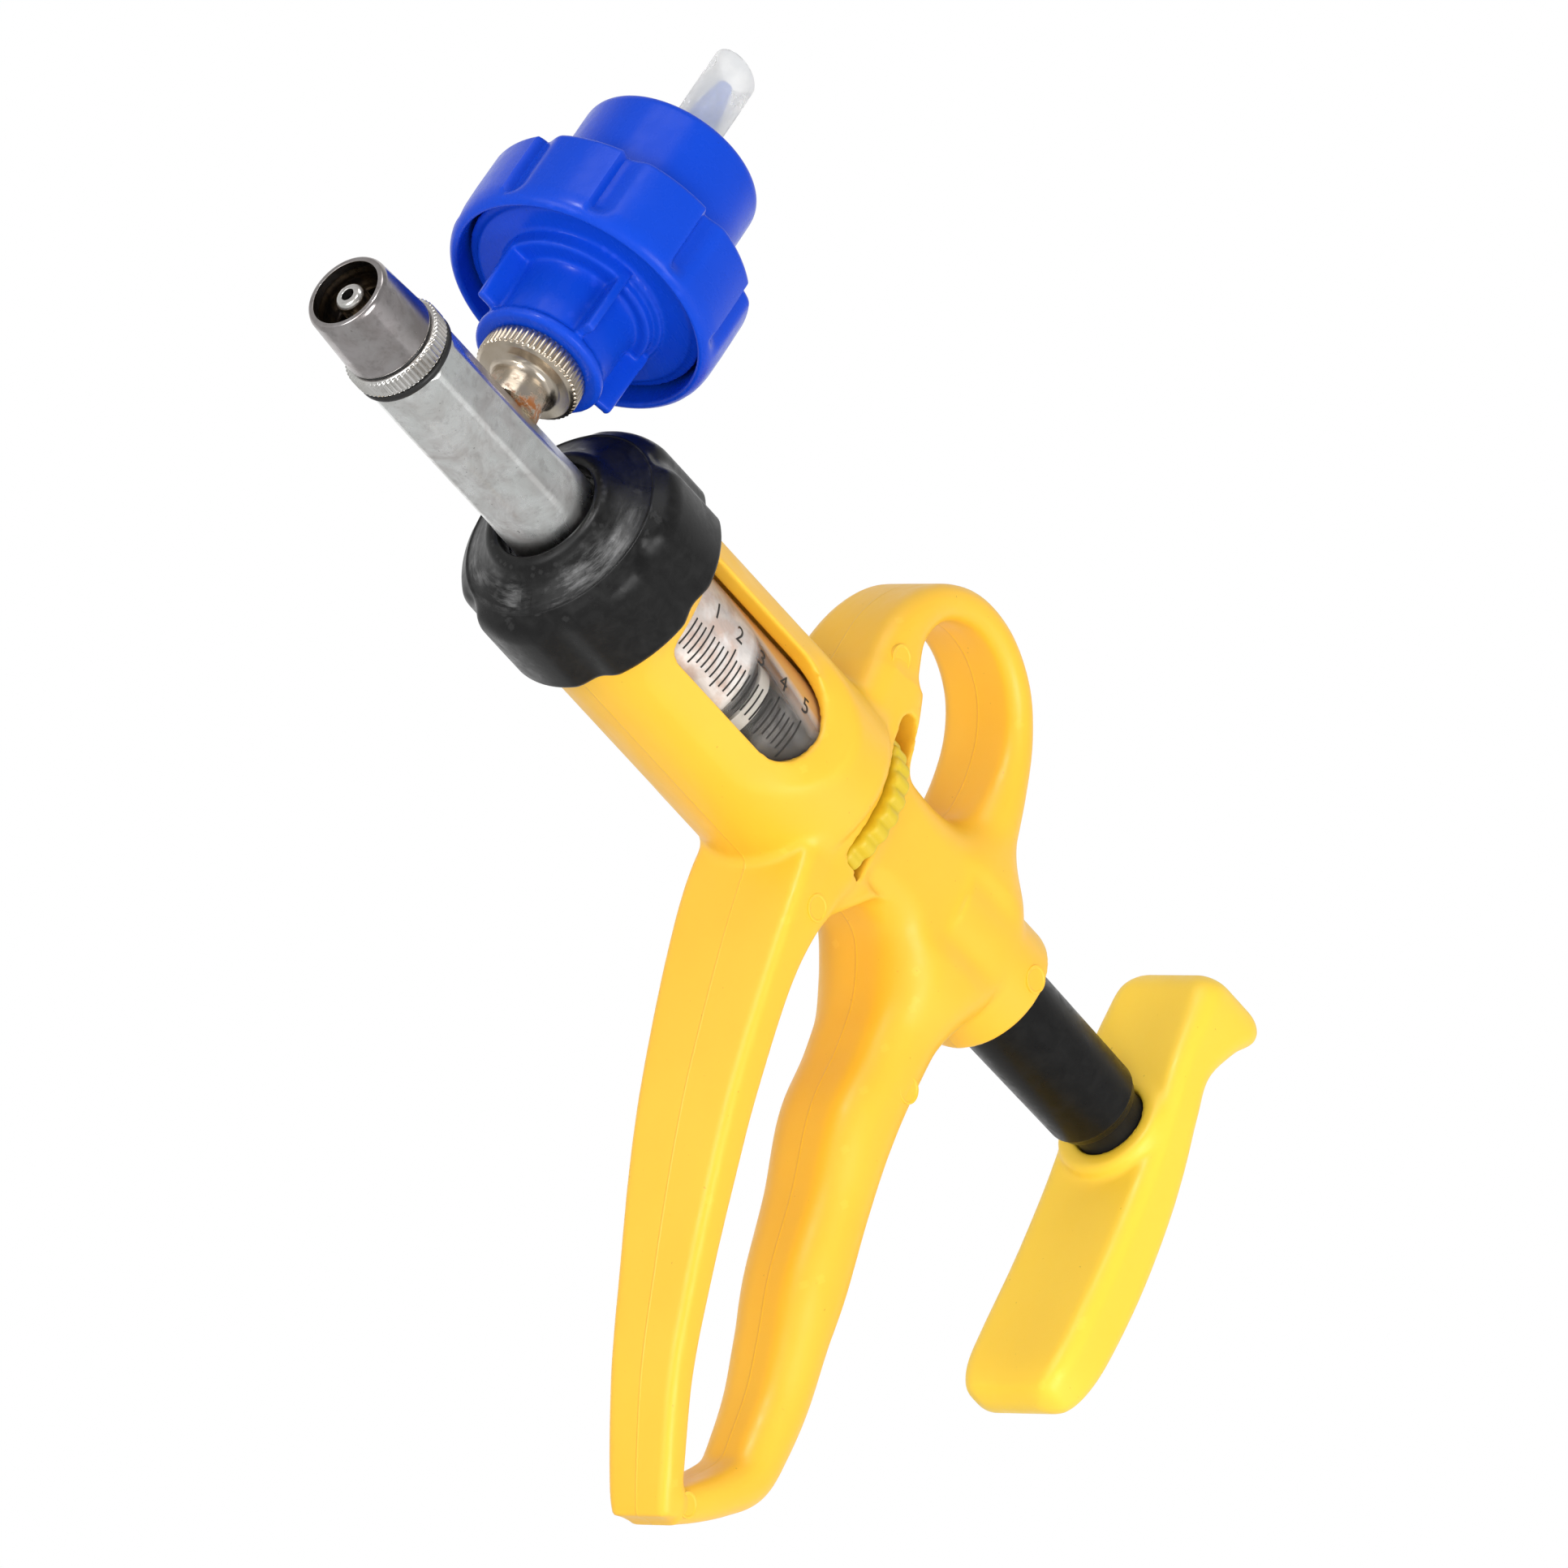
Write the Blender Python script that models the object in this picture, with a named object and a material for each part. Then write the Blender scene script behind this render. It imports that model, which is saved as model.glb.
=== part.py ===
"""Self-filling repeating injector gun with a bottle adapter, modelled as separate pieces.

Design frame, in millimetres until the last step of each mesh: +X runs along the barrel from
the needle end to the push handle, +Z points to the bottle side and +Y completes the frame.
The design origin is on the barrel axis, just ahead of the luer hood. The whole model hangs
from one empty that puts the world origin at the centre of the whole box.
"""

import math

import bmesh
import bpy
from mathutils import Vector

MM = 0.001

# Driving dimensions of the whole injector (mm).
FRONT_X = 1.7
REAR_X = 212.638
HIGHEST_Z = 73.828
LOWEST_Z = -101.326
GAP = 0.3                       # clearance between touching pieces

# Barrel group, measured along +X.
BORE_RADIUS = 7.5               # 5.62 mm of stroke for each millilitre
GLASS_RADIUS = 10.5
GLASS_FRONT_X = 61.0
GLASS_REAR_X = 107.4
SLEEVE_RADIUS = 14.8
SLEEVE_THREAD_RADIUS = 13.9
SLEEVE_FRONT_X = 61.5
SLEEVE_SHOULDER_X = 70.2
SLEEVE_REAR_X = 112.0
WINDOW_HALF_HEIGHT = 7.2
WINDOW_FRONT_X = 71.0
WINDOW_REAR_X = 107.0
WINDOW_BEVEL = 4.2
BEVEL_LOW_Y = 10.8
BEVEL_HIGH_Y = 15.2
REACH = 25.0                    # cutters run past the frame's sides

# Metal front group.
VALVE_BODY_RADIUS = 7.0
HOOD_REAR_X = 12.6
VALVE_BODY_FRONT_X = 17.3
VALVE_FLANGE_X = 55.3
NOSE_REAR_X = 73.4
NUT_RADIUS = 17.5
NUT_FRONT_X = 51.6
NUT_CORNER_X = 57.5
NUT_REAR_X = 69.9
NUT_NOTCHES = 6
NUT_NOTCH_START = math.radians(-17.5)

# Dose setting.
WHEEL_RADIUS = 14.0
WHEEL_FRONT_X = 120.2
WHEEL_REAR_X = 125.2
WHEEL_SCALLOPS = 24
SLOT_FRONT_X = 119.6
SLOT_REAR_X = 125.8
SLOT_HALF_HEIGHT = 15.6
DOSE_SLEEVE_RADIUS = 6.2
DOSE_SLEEVE_FRONT_X = 97.5
DOSE_SLEEVE_REAR_X = 126.0
DOSE_BORE_RADIUS = 6.6

# Plunger.
PISTON_FRONT_X = 90.2
PISTON_REAR_X = 97.2
PISTON_RADIUS = 7.15
ROD_RADIUS = 2.5
ROD_REAR_X = 206.0
WEB_FRONT_X = 138.0
WEB_REAR_X = 142.0
BOSS_RADIUS = 10.2
BOSS_REAR_X = 166.7
TUBE_FRONT_X = 158.6
TUBE_REAR_X = 195.8
TUBE_BORE_RADIUS = 5.6
TUBE_WALL_FRONT_X = 192.8
TUBE_SPIGOT_REAR_X = 201.4
TUBE_GUIDE_RADIUS = 7.7
HANDLE_BOSS_FRONT_X = 198.6
HANDLE_BOSS_RADIUS = 8.9

# Bottle adapter, measured along its own axis from the barrel axis.
ADAPTER_X = 36.4
ADAPTER_LEAN = math.radians(11.0)
HUB_FRONT = 15.5
HUB_DISC_RADIUS = 18.0
RING_RADIUS = 20.4
RING_FRONT = 26.6
RING_REAR = 39.6
RING_NOTCHES = 9
RING_NOTCH_START = math.radians(11.0)
HUB_FINS = 4
HUB_FIN_START = math.radians(67.0)
CUP_RADIUS = 13.4
CUP_BORE_RADIUS = 11.8
CUP_REAR = 55.0
TUBE_TIP = 74.5
DRAW_TUBE_RADIUS = 3.65

# Facets around a turned piece.
FINE = 24
MEDIUM = 18
SMALL = 12


def clear_scene():
    """Remove every object that the file starts with."""
    for old in list(bpy.data.objects):
        bpy.data.objects.remove(old, do_unlink=True)


def material(name, colour, roughness, metallic=0.0, alpha=1.0):
    """Principled material with one flat finish."""
    made = bpy.data.materials.new(name)
    made.use_nodes = True
    shader = made.node_tree.nodes["Principled BSDF"]
    shader.inputs["Base Color"].default_value = (*colour, 1.0)
    shader.inputs["Roughness"].default_value = roughness
    shader.inputs["Metallic"].default_value = metallic
    shader.inputs["Alpha"].default_value = alpha
    made.diffuse_color = (*colour, alpha)
    return made


def finish_mesh(name, bm, parent, look):
    """Turn a bmesh in millimetres into a named, shaded object in metres."""
    bmesh.ops.recalc_face_normals(bm, faces=bm.faces)
    bmesh.ops.scale(bm, vec=(MM, MM, MM), verts=bm.verts)
    mesh = bpy.data.meshes.new(name)
    bm.to_mesh(mesh)
    bm.free()
    mesh.shade_smooth()
    mesh.set_sharp_from_angle(angle=math.radians(35.0))
    made = bpy.data.objects.new(name, mesh)
    bpy.context.scene.collection.objects.link(made)
    made.parent = parent
    if look is not None:
        mesh.materials.append(look)
    return made


def bridge_rings(bm, rings, closed):
    """Join rings of vertices, where a ring of one vertex is a point on the axis."""
    pairs = list(zip(rings, rings[1:]))
    if closed:
        pairs.append((rings[-1], rings[0]))
    for low, high in pairs:
        count = max(len(low), len(high))
        for i in range(count):
            j = (i + 1) % count
            corners = [low[i % len(low)], low[j % len(low)], high[j % len(high)], high[i % len(high)]]
            face = list(dict.fromkeys(corners))
            if len(face) > 2:
                bm.faces.new(face)


def turned(name, profile, facets, parent, look, rim=None, start=0.0):
    """Turn a profile of (distance along the axis, radius) about the parent's local Z axis.

    A profile whose ends lie on the axis gives a solid; any other is closed into a ring.
    rim(angle, distance, radius) may change the radius around the piece, and start turns the
    piece and its rim about the axis.
    """
    bm = bmesh.new()
    rings = []
    for along, radius in profile:
        if radius == 0.0:
            rings.append([bm.verts.new((0.0, 0.0, along))])
            continue
        ring = []
        for i in range(facets):
            angle = 2.0 * math.pi * i / facets
            reach = rim(angle, along, radius) if rim else radius
            across = reach * math.cos(start + angle)
            aside = reach * math.sin(start + angle)
            ring.append(bm.verts.new((across, aside, along)))
        rings.append(ring)
    bridge_rings(bm, rings, closed=profile[0][1] > 0.0)
    return finish_mesh(name, bm, parent, look)


def tube_profile(front, rear, inner, outer):
    """Profile of a plain ring or bush."""
    return [(front, inner), (front, outer), (rear, outer), (rear, inner)]


def o_ring_profile(centre, radius, thickness, points=6):
    """Round cross-section of an O-ring about a circle of the given radius."""
    profile = []
    for i in range(points):
        angle = 2.0 * math.pi * i / points
        profile.append((centre + 0.5 * thickness * math.cos(angle),
                        radius + 0.5 * thickness * math.sin(angle)))
    return profile


def coil(name, front, rear, radius, wire, turns, parent, look, steps=10, sides=5):
    """Compression spring about the parent's local Z axis, with closed ends of the wire."""
    bm = bmesh.new()
    total = int(turns * steps)
    rise = (rear - front - wire) / total
    rings = []
    for i in range(total + 1):
        angle = 2.0 * math.pi * i / steps
        outward = Vector((math.cos(angle), math.sin(angle), 0.0))
        centre = outward * radius + Vector((0.0, 0.0, front + 0.5 * wire + rise * i))
        ring = []
        for k in range(sides):
            around = 2.0 * math.pi * k / sides
            offset = outward * math.cos(around) + Vector((0.0, 0.0, math.sin(around)))
            ring.append(bm.verts.new(centre + offset * 0.5 * wire))
        rings.append(ring)
    bridge_rings(bm, rings, closed=False)
    bm.faces.new(rings[0])
    bm.faces.new(rings[-1])
    return finish_mesh(name, bm, parent, look)


def catmull_rom(points, t):
    """Smooth curve through points, with t counted in points."""
    last = len(points) - 1
    i = min(int(t), last - 1)
    f = t - i
    p0 = points[max(i - 1, 0)]
    p1 = points[i]
    p2 = points[i + 1]
    p3 = points[min(i + 2, last)]
    result = []
    for a, b, c, d in zip(p0, p1, p2, p3):
        result.append(0.5 * (2.0 * b + (c - a) * f + (2.0 * a - 5.0 * b + 4.0 * c - d) * f * f
                             + (3.0 * b - a - 3.0 * c + d) * f * f * f))
    return result


def rounded_section(depth, width, corner, steps):
    """Rectangle with round corners as (across, sideways) points."""
    radius = min(corner, 0.49 * depth, 0.49 * width)
    points = []
    for quarter in range(4):
        middle = 0.5 * math.pi * quarter + 0.25 * math.pi
        across = math.copysign(0.5 * depth - radius, math.cos(middle))
        sideways = math.copysign(0.5 * width - radius, math.sin(middle))
        for i in range(steps + 1):
            angle = 0.5 * math.pi * (quarter + i / steps)
            points.append((across + radius * math.cos(angle), sideways + radius * math.sin(angle)))
    return points


def loft(name, stations, parent, look, corner_steps=2, steps=2, heading=None):
    """Solid through stations of (x, z, depth in the XZ plane, width in Y, corner radius).

    Sections stand square to the path, or to a fixed heading (x, z) where one is given.
    """
    bm = bmesh.new()
    rings = []
    last = len(stations) - 1
    for k in range(last * steps + 1):
        t = k / steps
        x, z, depth, width, corner = catmull_rom(stations, t)
        if heading is None:
            ahead = catmull_rom(stations, min(t + 0.05, last))
            behind = catmull_rom(stations, max(t - 0.05, 0.0))
            run = Vector((ahead[0] - behind[0], ahead[1] - behind[1])).normalized()
        else:
            run = Vector(heading).normalized()
        ring = []
        for across, sideways in rounded_section(depth, width, corner, corner_steps):
            ring.append(bm.verts.new((x + across * run.y, sideways, z - across * run.x)))
        rings.append(ring)
    bridge_rings(bm, rings, closed=False)
    bm.faces.new(rings[0])
    bm.faces.new(rings[-1])
    return finish_mesh(name, bm, parent, look)


def prism(name, low_outline, low_y, high_outline, high_y, parent):
    """Solid between two outlines in XZ planes with the same number of points."""
    bm = bmesh.new()
    rings = []
    for outline, y in ((low_outline, low_y), (high_outline, high_y)):
        rings.append([bm.verts.new((x, y, z)) for x, z in outline])
    bridge_rings(bm, rings, closed=False)
    bm.faces.new(rings[0])
    bm.faces.new(rings[-1])
    return finish_mesh(name, bm, parent, None)


def guide(made):
    """Mark an object as a cutter or a tool that isn't part of the injector."""
    made.hide_render = True
    made.display_type = "WIRE"
    return made


def boolean(target, tool, operation):
    """Add a Boolean modifier that uses a guide object."""
    guide(tool)
    step = target.modifiers.new(tool.name, "BOOLEAN")
    step.operation = operation
    step.solver = "EXACT"
    step.object = tool


def make_axes():
    """Empties for the design origin, the barrel axis and the adapter axis."""
    def empty(name, parent, place, lean):
        made = bpy.data.objects.new(name, None)
        bpy.context.scene.collection.objects.link(made)
        made.parent = parent
        made.location = [value * MM for value in place]
        made.rotation_euler = (0.0, lean, 0.0)
        return made

    centre = (-0.5 * (FRONT_X + REAR_X), 0.0, -0.5 * (HIGHEST_Z + LOWEST_Z))
    design = empty("design_origin", None, centre, 0.0)
    barrel = empty("barrel_axis", design, (0.0, 0.0, 0.0), 0.5 * math.pi)
    adapter = empty("adapter_axis", design, (ADAPTER_X, 0.0, 0.0), ADAPTER_LEAN)
    return design, barrel, adapter


def make_materials():
    """One material for each finish."""
    return {
        "yellow": material("yellow_plastic", (0.95, 0.58, 0.05), 0.42),
        "wheel": material("wheel_plastic", (0.72, 0.60, 0.03), 0.45),
        "black": material("black_plastic", (0.015, 0.015, 0.016), 0.38),
        "blue": material("blue_plastic", (0.01, 0.06, 0.60), 0.33),
        "chrome": material("chrome_plate", (0.75, 0.75, 0.77), 0.22, 1.0),
        "nickel": material("nickel_brass", (0.62, 0.54, 0.42), 0.26, 1.0),
        "steel": material("spring_steel", (0.55, 0.55, 0.57), 0.28, 1.0),
        "rubber": material("black_rubber", (0.012, 0.012, 0.012), 0.6),
        "white": material("white_plastic", (0.82, 0.82, 0.80), 0.4),
        "glass": material("barrel_glass", (0.95, 0.96, 0.96), 0.05, 0.0, 0.35),
        "tube": material("clear_tube", (0.88, 0.88, 0.87), 0.35, 0.0, 0.7),
    }


def window_outline(grow):
    """Barrel window with straight sides and a round rear end, grown all round."""
    arc_x = WINDOW_REAR_X - WINDOW_HALF_HEIGHT
    radius = WINDOW_HALF_HEIGHT + grow
    outline = [(WINDOW_FRONT_X - grow, -radius)]
    steps = 7
    for i in range(steps + 1):
        angle = -0.5 * math.pi + math.pi * i / steps
        outline.append((arc_x + radius * math.cos(angle), radius * math.sin(angle)))
    outline.append((WINDOW_FRONT_X - grow, radius))
    return outline


def slot_outline():
    """Slot for the dose wheel, with round ends."""
    middle = 0.5 * (SLOT_FRONT_X + SLOT_REAR_X)
    radius = 0.5 * (SLOT_REAR_X - SLOT_FRONT_X)
    straight = SLOT_HALF_HEIGHT - radius
    outline = []
    steps = 5
    for end in (1.0, -1.0):
        for i in range(steps + 1):
            angle = math.pi * i / steps
            outline.append((middle + end * radius * math.cos(angle),
                            end * (straight + radius * math.sin(angle))))
    return outline


def make_frame(design, barrel, look):
    """Moulded frame: barrel sleeve, front strip, grip, finger ring and rear body."""
    frame = turned("frame", [
        (SLEEVE_FRONT_X, 0.0), (SLEEVE_FRONT_X, SLEEVE_THREAD_RADIUS),
        (SLEEVE_SHOULDER_X, SLEEVE_THREAD_RADIUS), (SLEEVE_SHOULDER_X, SLEEVE_RADIUS),
        (SLEEVE_REAR_X - 1.4, SLEEVE_RADIUS), (SLEEVE_REAR_X, SLEEVE_RADIUS - 1.0),
        (SLOT_FRONT_X, SLEEVE_RADIUS - 2.6), (SLOT_FRONT_X + 1.0, 0.0)], FINE, barrel, look)
    solids = [
        # Strip in front of the fingers, from above the dose wheel to the lower tip.
        loft("strip_form", [
            (119.4, 19.5, 10.4, 17.6, 2.0), (120.0, 13.5, 13.0, 18.4, 2.0),
            (120.4, 6.0, 13.8, 18.8, 2.0), (120.2, -6.0, 13.6, 20.0, 2.0),
            (118.9, -16.5, 9.2, 21.2, 1.6), (119.6, -28.8, 6.2, 20.2, 1.4),
            (123.3, -45.1, 5.8, 18.0, 1.4), (127.1, -57.1, 5.5, 16.4, 1.4),
            (132.1, -70.4, 5.1, 14.2, 1.4), (137.6, -83.5, 4.8, 12.4, 1.4),
            (145.0, -96.2, 4.5, 11.2, 1.4), (147.6, -100.3, 3.8, 10.2, 1.4)], design, None),
        # Grip behind the fingers, with two ridges between the finger hollows, and its link.
        loft("grip_form", [
            (147.6, -98.6, 5.0, 9.8, 2.0), (151.8, -95.0, 5.8, 10.8, 2.4),
            (156.5, -90.4, 6.6, 11.2, 3.0), (160.0, -85.6, 7.9, 11.4, 3.6),
            (160.4, -80.0, 8.8, 12.0, 4.2), (159.8, -73.0, 9.2, 12.9, 4.5),
            (158.0, -65.5, 10.0, 13.9, 4.9), (155.9, -57.0, 11.8, 14.9, 5.0),
            (153.3, -45.0, 11.4, 15.8, 5.0), (150.8, -34.0, 12.8, 16.8, 5.0),
            (150.6, -24.0, 12.4, 17.4, 5.0), (150.0, -8.0, 15.0, 18.0, 5.0)], design, None),
        # Finger ring on the bottle side.
        loft("ring_form", [
            (119.9, 11.0, 12.6, 18.6, 2.6), (118.4, 20.0, 10.4, 17.6, 3.0),
            (118.7, 27.5, 7.4, 16.2, 3.4), (122.4, 34.0, 5.6, 14.8, 2.7),
            (128.8, 37.6, 5.0, 14.2, 2.4), (136.3, 37.5, 4.8, 14.0, 2.3),
            (143.0, 34.0, 4.9, 14.2, 2.4), (147.2, 28.4, 5.4, 14.6, 2.6),
            (149.4, 21.4, 6.8, 15.6, 3.3), (150.4, 13.6, 10.0, 16.8, 4.5),
            (150.6, 6.0, 14.0, 17.6, 5.0)], design, None),
        # Rear body around the plunger, ending in the round boss.
        loft("body_form", [
            (121.5, -0.5, 29.0, 19.0, 3.0), (127.5, 0.3, 19.8, 18.8, 4.0),
            (133.0, 0.4, 18.8, 18.6, 5.0), (138.5, 0.2, 20.4, 18.6, 6.0),
            (143.5, -1.3, 26.2, 18.6, 7.0), (147.5, -2.6, 31.0, 18.8, 7.5),
            (152.0, -2.4, 33.0, 19.0, 8.0), (157.5, -0.8, 27.5, 19.6, 8.6),
            (162.0, 0.0, 21.8, 20.2, 9.6),
            (BOSS_REAR_X, 0.0, 2.0 * BOSS_RADIUS, 2.0 * BOSS_RADIUS, 9.9)],
             design, None, corner_steps=4, heading=(1.0, 0.0)),
    ]
    for solid in solids:
        boolean(frame, solid, "UNION")

    window = window_outline(0.0)
    wide_window = window_outline(WINDOW_BEVEL)
    cutters = [
        # Stepped bore for the glass, the dose sleeve, the rod and the slide tube.
        turned("bore_cut", [
            (SLEEVE_FRONT_X - 1.0, 0.0), (SLEEVE_FRONT_X - 1.0, GLASS_RADIUS + 0.5),
            (GLASS_REAR_X + 1.5, GLASS_RADIUS + 0.5), (GLASS_REAR_X + 1.5, DOSE_BORE_RADIUS),
            (WEB_FRONT_X, DOSE_BORE_RADIUS), (WEB_FRONT_X, ROD_RADIUS + GAP),
            (WEB_REAR_X, ROD_RADIUS + GAP), (WEB_REAR_X, TUBE_GUIDE_RADIUS),
            (BOSS_REAR_X + 1.0, TUBE_GUIDE_RADIUS), (BOSS_REAR_X + 1.0, 0.0)], FINE, barrel, None),
        prism("slot_cut", slot_outline(), -REACH, slot_outline(), REACH, design),
        prism("window_cut", window, -REACH, window, REACH, design),
        prism("left_bevel_cut", window, BEVEL_LOW_Y, wide_window, BEVEL_HIGH_Y, design),
        prism("right_bevel_cut", window, -BEVEL_LOW_Y, wide_window, -BEVEL_HIGH_Y, design),
    ]
    for cutter in cutters:
        boolean(frame, cutter, "DIFFERENCE")
    return frame


def make_t_handle(design, barrel, look):
    """Push handle across the rear end of the plunger."""
    handle = loft("t_handle", [
        (204.6, -44.3, 3.6, 12.0, 1.5), (204.6, -42.6, 7.0, 16.0, 2.4),
        (204.9, -39.0, 8.8, 18.2, 2.6), (205.5, -33.0, 9.6, 18.8, 2.6),
        (206.0, -22.0, 9.8, 18.8, 2.6), (205.6, -11.0, 9.4, 18.8, 2.6),
        (204.6, -2.6, 8.8, 18.8, 2.6), (202.9, 5.6, 8.2, 18.8, 2.6),
        (202.0, 11.0, 8.2, 18.6, 2.6), (203.4, 16.6, 11.4, 18.4, 3.0),
        (205.0, 20.6, 14.8, 17.8, 3.0), (205.5, 22.9, 13.2, 16.0, 3.0),
        (204.9, 24.4, 8.6, 12.0, 2.5)], design, look, heading=(0.0, 1.0))
    boss = turned("handle_boss_form", [
        (HANDLE_BOSS_FRONT_X, 0.0), (HANDLE_BOSS_FRONT_X, HANDLE_BOSS_RADIUS - 1.0),
        (HANDLE_BOSS_FRONT_X + 0.9, HANDLE_BOSS_RADIUS), (204.5, HANDLE_BOSS_RADIUS + 0.3),
        (204.5, 0.0)], MEDIUM, barrel, None)
    hole = turned("handle_hole_cut", [
        (HANDLE_BOSS_FRONT_X - 1.0, 0.0), (HANDLE_BOSS_FRONT_X - 1.0, 5.7),
        (TUBE_SPIGOT_REAR_X + GAP, 5.7), (TUBE_SPIGOT_REAR_X + GAP, ROD_RADIUS + GAP),
        (ROD_REAR_X + GAP, ROD_RADIUS + GAP), (ROD_REAR_X + GAP, 0.0)], MEDIUM, barrel, None)
    boolean(handle, boss, "UNION")
    boolean(handle, hole, "DIFFERENCE")
    return handle


def make_barrel_group(barrel, looks):
    """Glass barrel, its seals and the end nut that clamps them."""
    turned("glass_barrel", tube_profile(GLASS_FRONT_X, GLASS_REAR_X, BORE_RADIUS, GLASS_RADIUS),
           FINE, barrel, looks["glass"])
    turned("front_barrel_seal", tube_profile(58.3, GLASS_FRONT_X - GAP, 7.6, 10.4),
           MEDIUM, barrel, looks["rubber"])
    turned("rear_barrel_seal", tube_profile(GLASS_REAR_X + GAP, GLASS_REAR_X + 1.2, 7.3, 10.4),
           MEDIUM, barrel, looks["rubber"])

    def lobes(angle, along, radius):
        if radius < NUT_RADIUS - 0.5:
            return radius
        phase = (angle * NUT_NOTCHES / (2.0 * math.pi) + 0.5) % 1.0
        notch = max(0.0, 1.0 - abs(phase - 0.5) / 0.16)
        return radius - 0.9 * notch

    turned("end_nut", [
        (NUT_FRONT_X, 7.7), (NUT_FRONT_X, 8.6), (NUT_FRONT_X + 0.5, 9.0), (53.4, 10.2),
        (55.4, 13.6), (NUT_CORNER_X - 0.6, 16.7), (NUT_CORNER_X + 0.4, NUT_RADIUS),
        (NUT_REAR_X - 0.5, NUT_RADIUS), (NUT_REAR_X, NUT_RADIUS - 0.6), (NUT_REAR_X, 14.2),
        (61.2, 14.2), (61.2, 10.9), (55.0, 10.9), (55.0, 7.7)],
        7 * NUT_NOTCHES, barrel, looks["black"], rim=lobes, start=NUT_NOTCH_START)


def make_valve_group(barrel, adapter, looks):
    """Chromed valve body with the luer nozzle and the outlet valve."""
    body = turned("valve_body", [
        (VALVE_BODY_FRONT_X, 4.3), (VALVE_BODY_FRONT_X, VALVE_BODY_RADIUS - 0.3),
        (VALVE_BODY_FRONT_X + 0.3, VALVE_BODY_RADIUS), (VALVE_FLANGE_X, VALVE_BODY_RADIUS),
        (VALVE_FLANGE_X, GLASS_RADIUS), (58.0, GLASS_RADIUS), (58.0, 7.05), (65.0, 7.05),
        (65.0, 5.6), (67.2, 5.6), (67.2, 7.05), (NOSE_REAR_X, 7.05), (NOSE_REAR_X, 2.5),
        (33.0, 2.5), (33.0, 1.6), (31.0, 1.6), (31.0, 4.3)], FINE, barrel, looks["chrome"])
    port = turned("inlet_port_cut", [
        (0.0, 0.0), (0.0, 1.5), (3.2, 1.5), (3.2, 3.9), (12.0, 3.9), (12.0, 0.0)],
        MEDIUM, adapter, None)
    boolean(body, port, "DIFFERENCE")
    turned("nose_o_ring", o_ring_profile(66.1, 6.6, 1.5), MEDIUM, barrel, looks["rubber"])

    turned("luer_hood", [
        (FRONT_X, 5.0), (FRONT_X, 5.8), (FRONT_X + 0.5, 6.2), (HOOD_REAR_X, 6.75),
        (HOOD_REAR_X, 5.0)], FINE, barrel, looks["chrome"])
    turned("luer_nozzle", [
        (2.2, 0.8), (2.2, 1.8), (2.5, 1.98), (8.0, 2.25), (8.0, 4.7), (12.9, 4.7), (12.9, 7.2),
        (13.2, 7.5), (15.6, 7.5), (15.9, 7.2), (15.9, 5.0), (17.2, 5.0), (17.2, 4.0),
        (21.5, 4.0), (21.5, 0.8)], FINE, barrel, looks["chrome"])
    turned("nozzle_o_ring", [(16.05, 5.3), (16.05, 7.2), (16.3, 7.5), (16.85, 7.5), (17.1, 7.2),
                             (17.1, 5.3)], FINE, barrel, looks["rubber"])
    turned("outlet_poppet", [(26.5, 0.0), (26.5, 1.6), (28.6, 1.6), (28.6, 3.5), (30.0, 3.5),
                             (30.7, 2.8), (30.7, 0.0)], SMALL, barrel, looks["steel"])
    coil("outlet_spring", 21.8, 28.3, 2.6, 0.5, 4.0, barrel, looks["steel"])


def make_inlet_group(barrel, adapter, looks):
    """Knurled connector between valve body and bottle adapter, with the inlet valve."""
    connector = turned("inlet_connector", [
        (4.0, 0.0), (4.0, 4.7), (10.4, 4.7), (11.2, 5.2), (12.4, 5.6), (13.0, 7.3), (13.3, 7.7),
        (15.0, 7.7), (15.2, 7.5), (15.2, 4.9), (23.4, 4.9), (23.4, 0.0)],
        MEDIUM, adapter, looks["nickel"])
    saddle = turned("saddle_cut", [(10.0, 0.0), (10.0, 7.3), (60.0, 7.3), (60.0, 0.0)],
                    FINE, barrel, None)
    spigot = turned("connector_spigot_form", [(4.6, 0.0), (4.6, 3.6), (9.5, 3.6), (9.5, 0.0)],
                    MEDIUM, adapter, None)
    chamber = turned("connector_bore_cut", [
        (3.0, 0.0), (3.0, 2.5), (14.0, 2.5), (14.0, 1.1), (25.0, 1.1), (25.0, 0.0)],
        SMALL, adapter, None)
    boolean(connector, saddle, "DIFFERENCE")
    boolean(connector, spigot, "UNION")
    boolean(connector, chamber, "DIFFERENCE")
    turned("inlet_poppet", [(9.6, 0.0), (9.6, 0.9), (11.6, 0.9), (11.6, 2.0), (13.2, 2.0),
                            (13.7, 1.6), (13.7, 0.0)], SMALL, adapter, looks["steel"])
    coil("inlet_spring", 6.0, 11.3, 1.55, 0.4, 4.0, adapter, looks["steel"])
    turned("inlet_spring_clip", tube_profile(4.9, 5.7, 0.9, 2.2), SMALL, adapter, looks["steel"])


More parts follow.
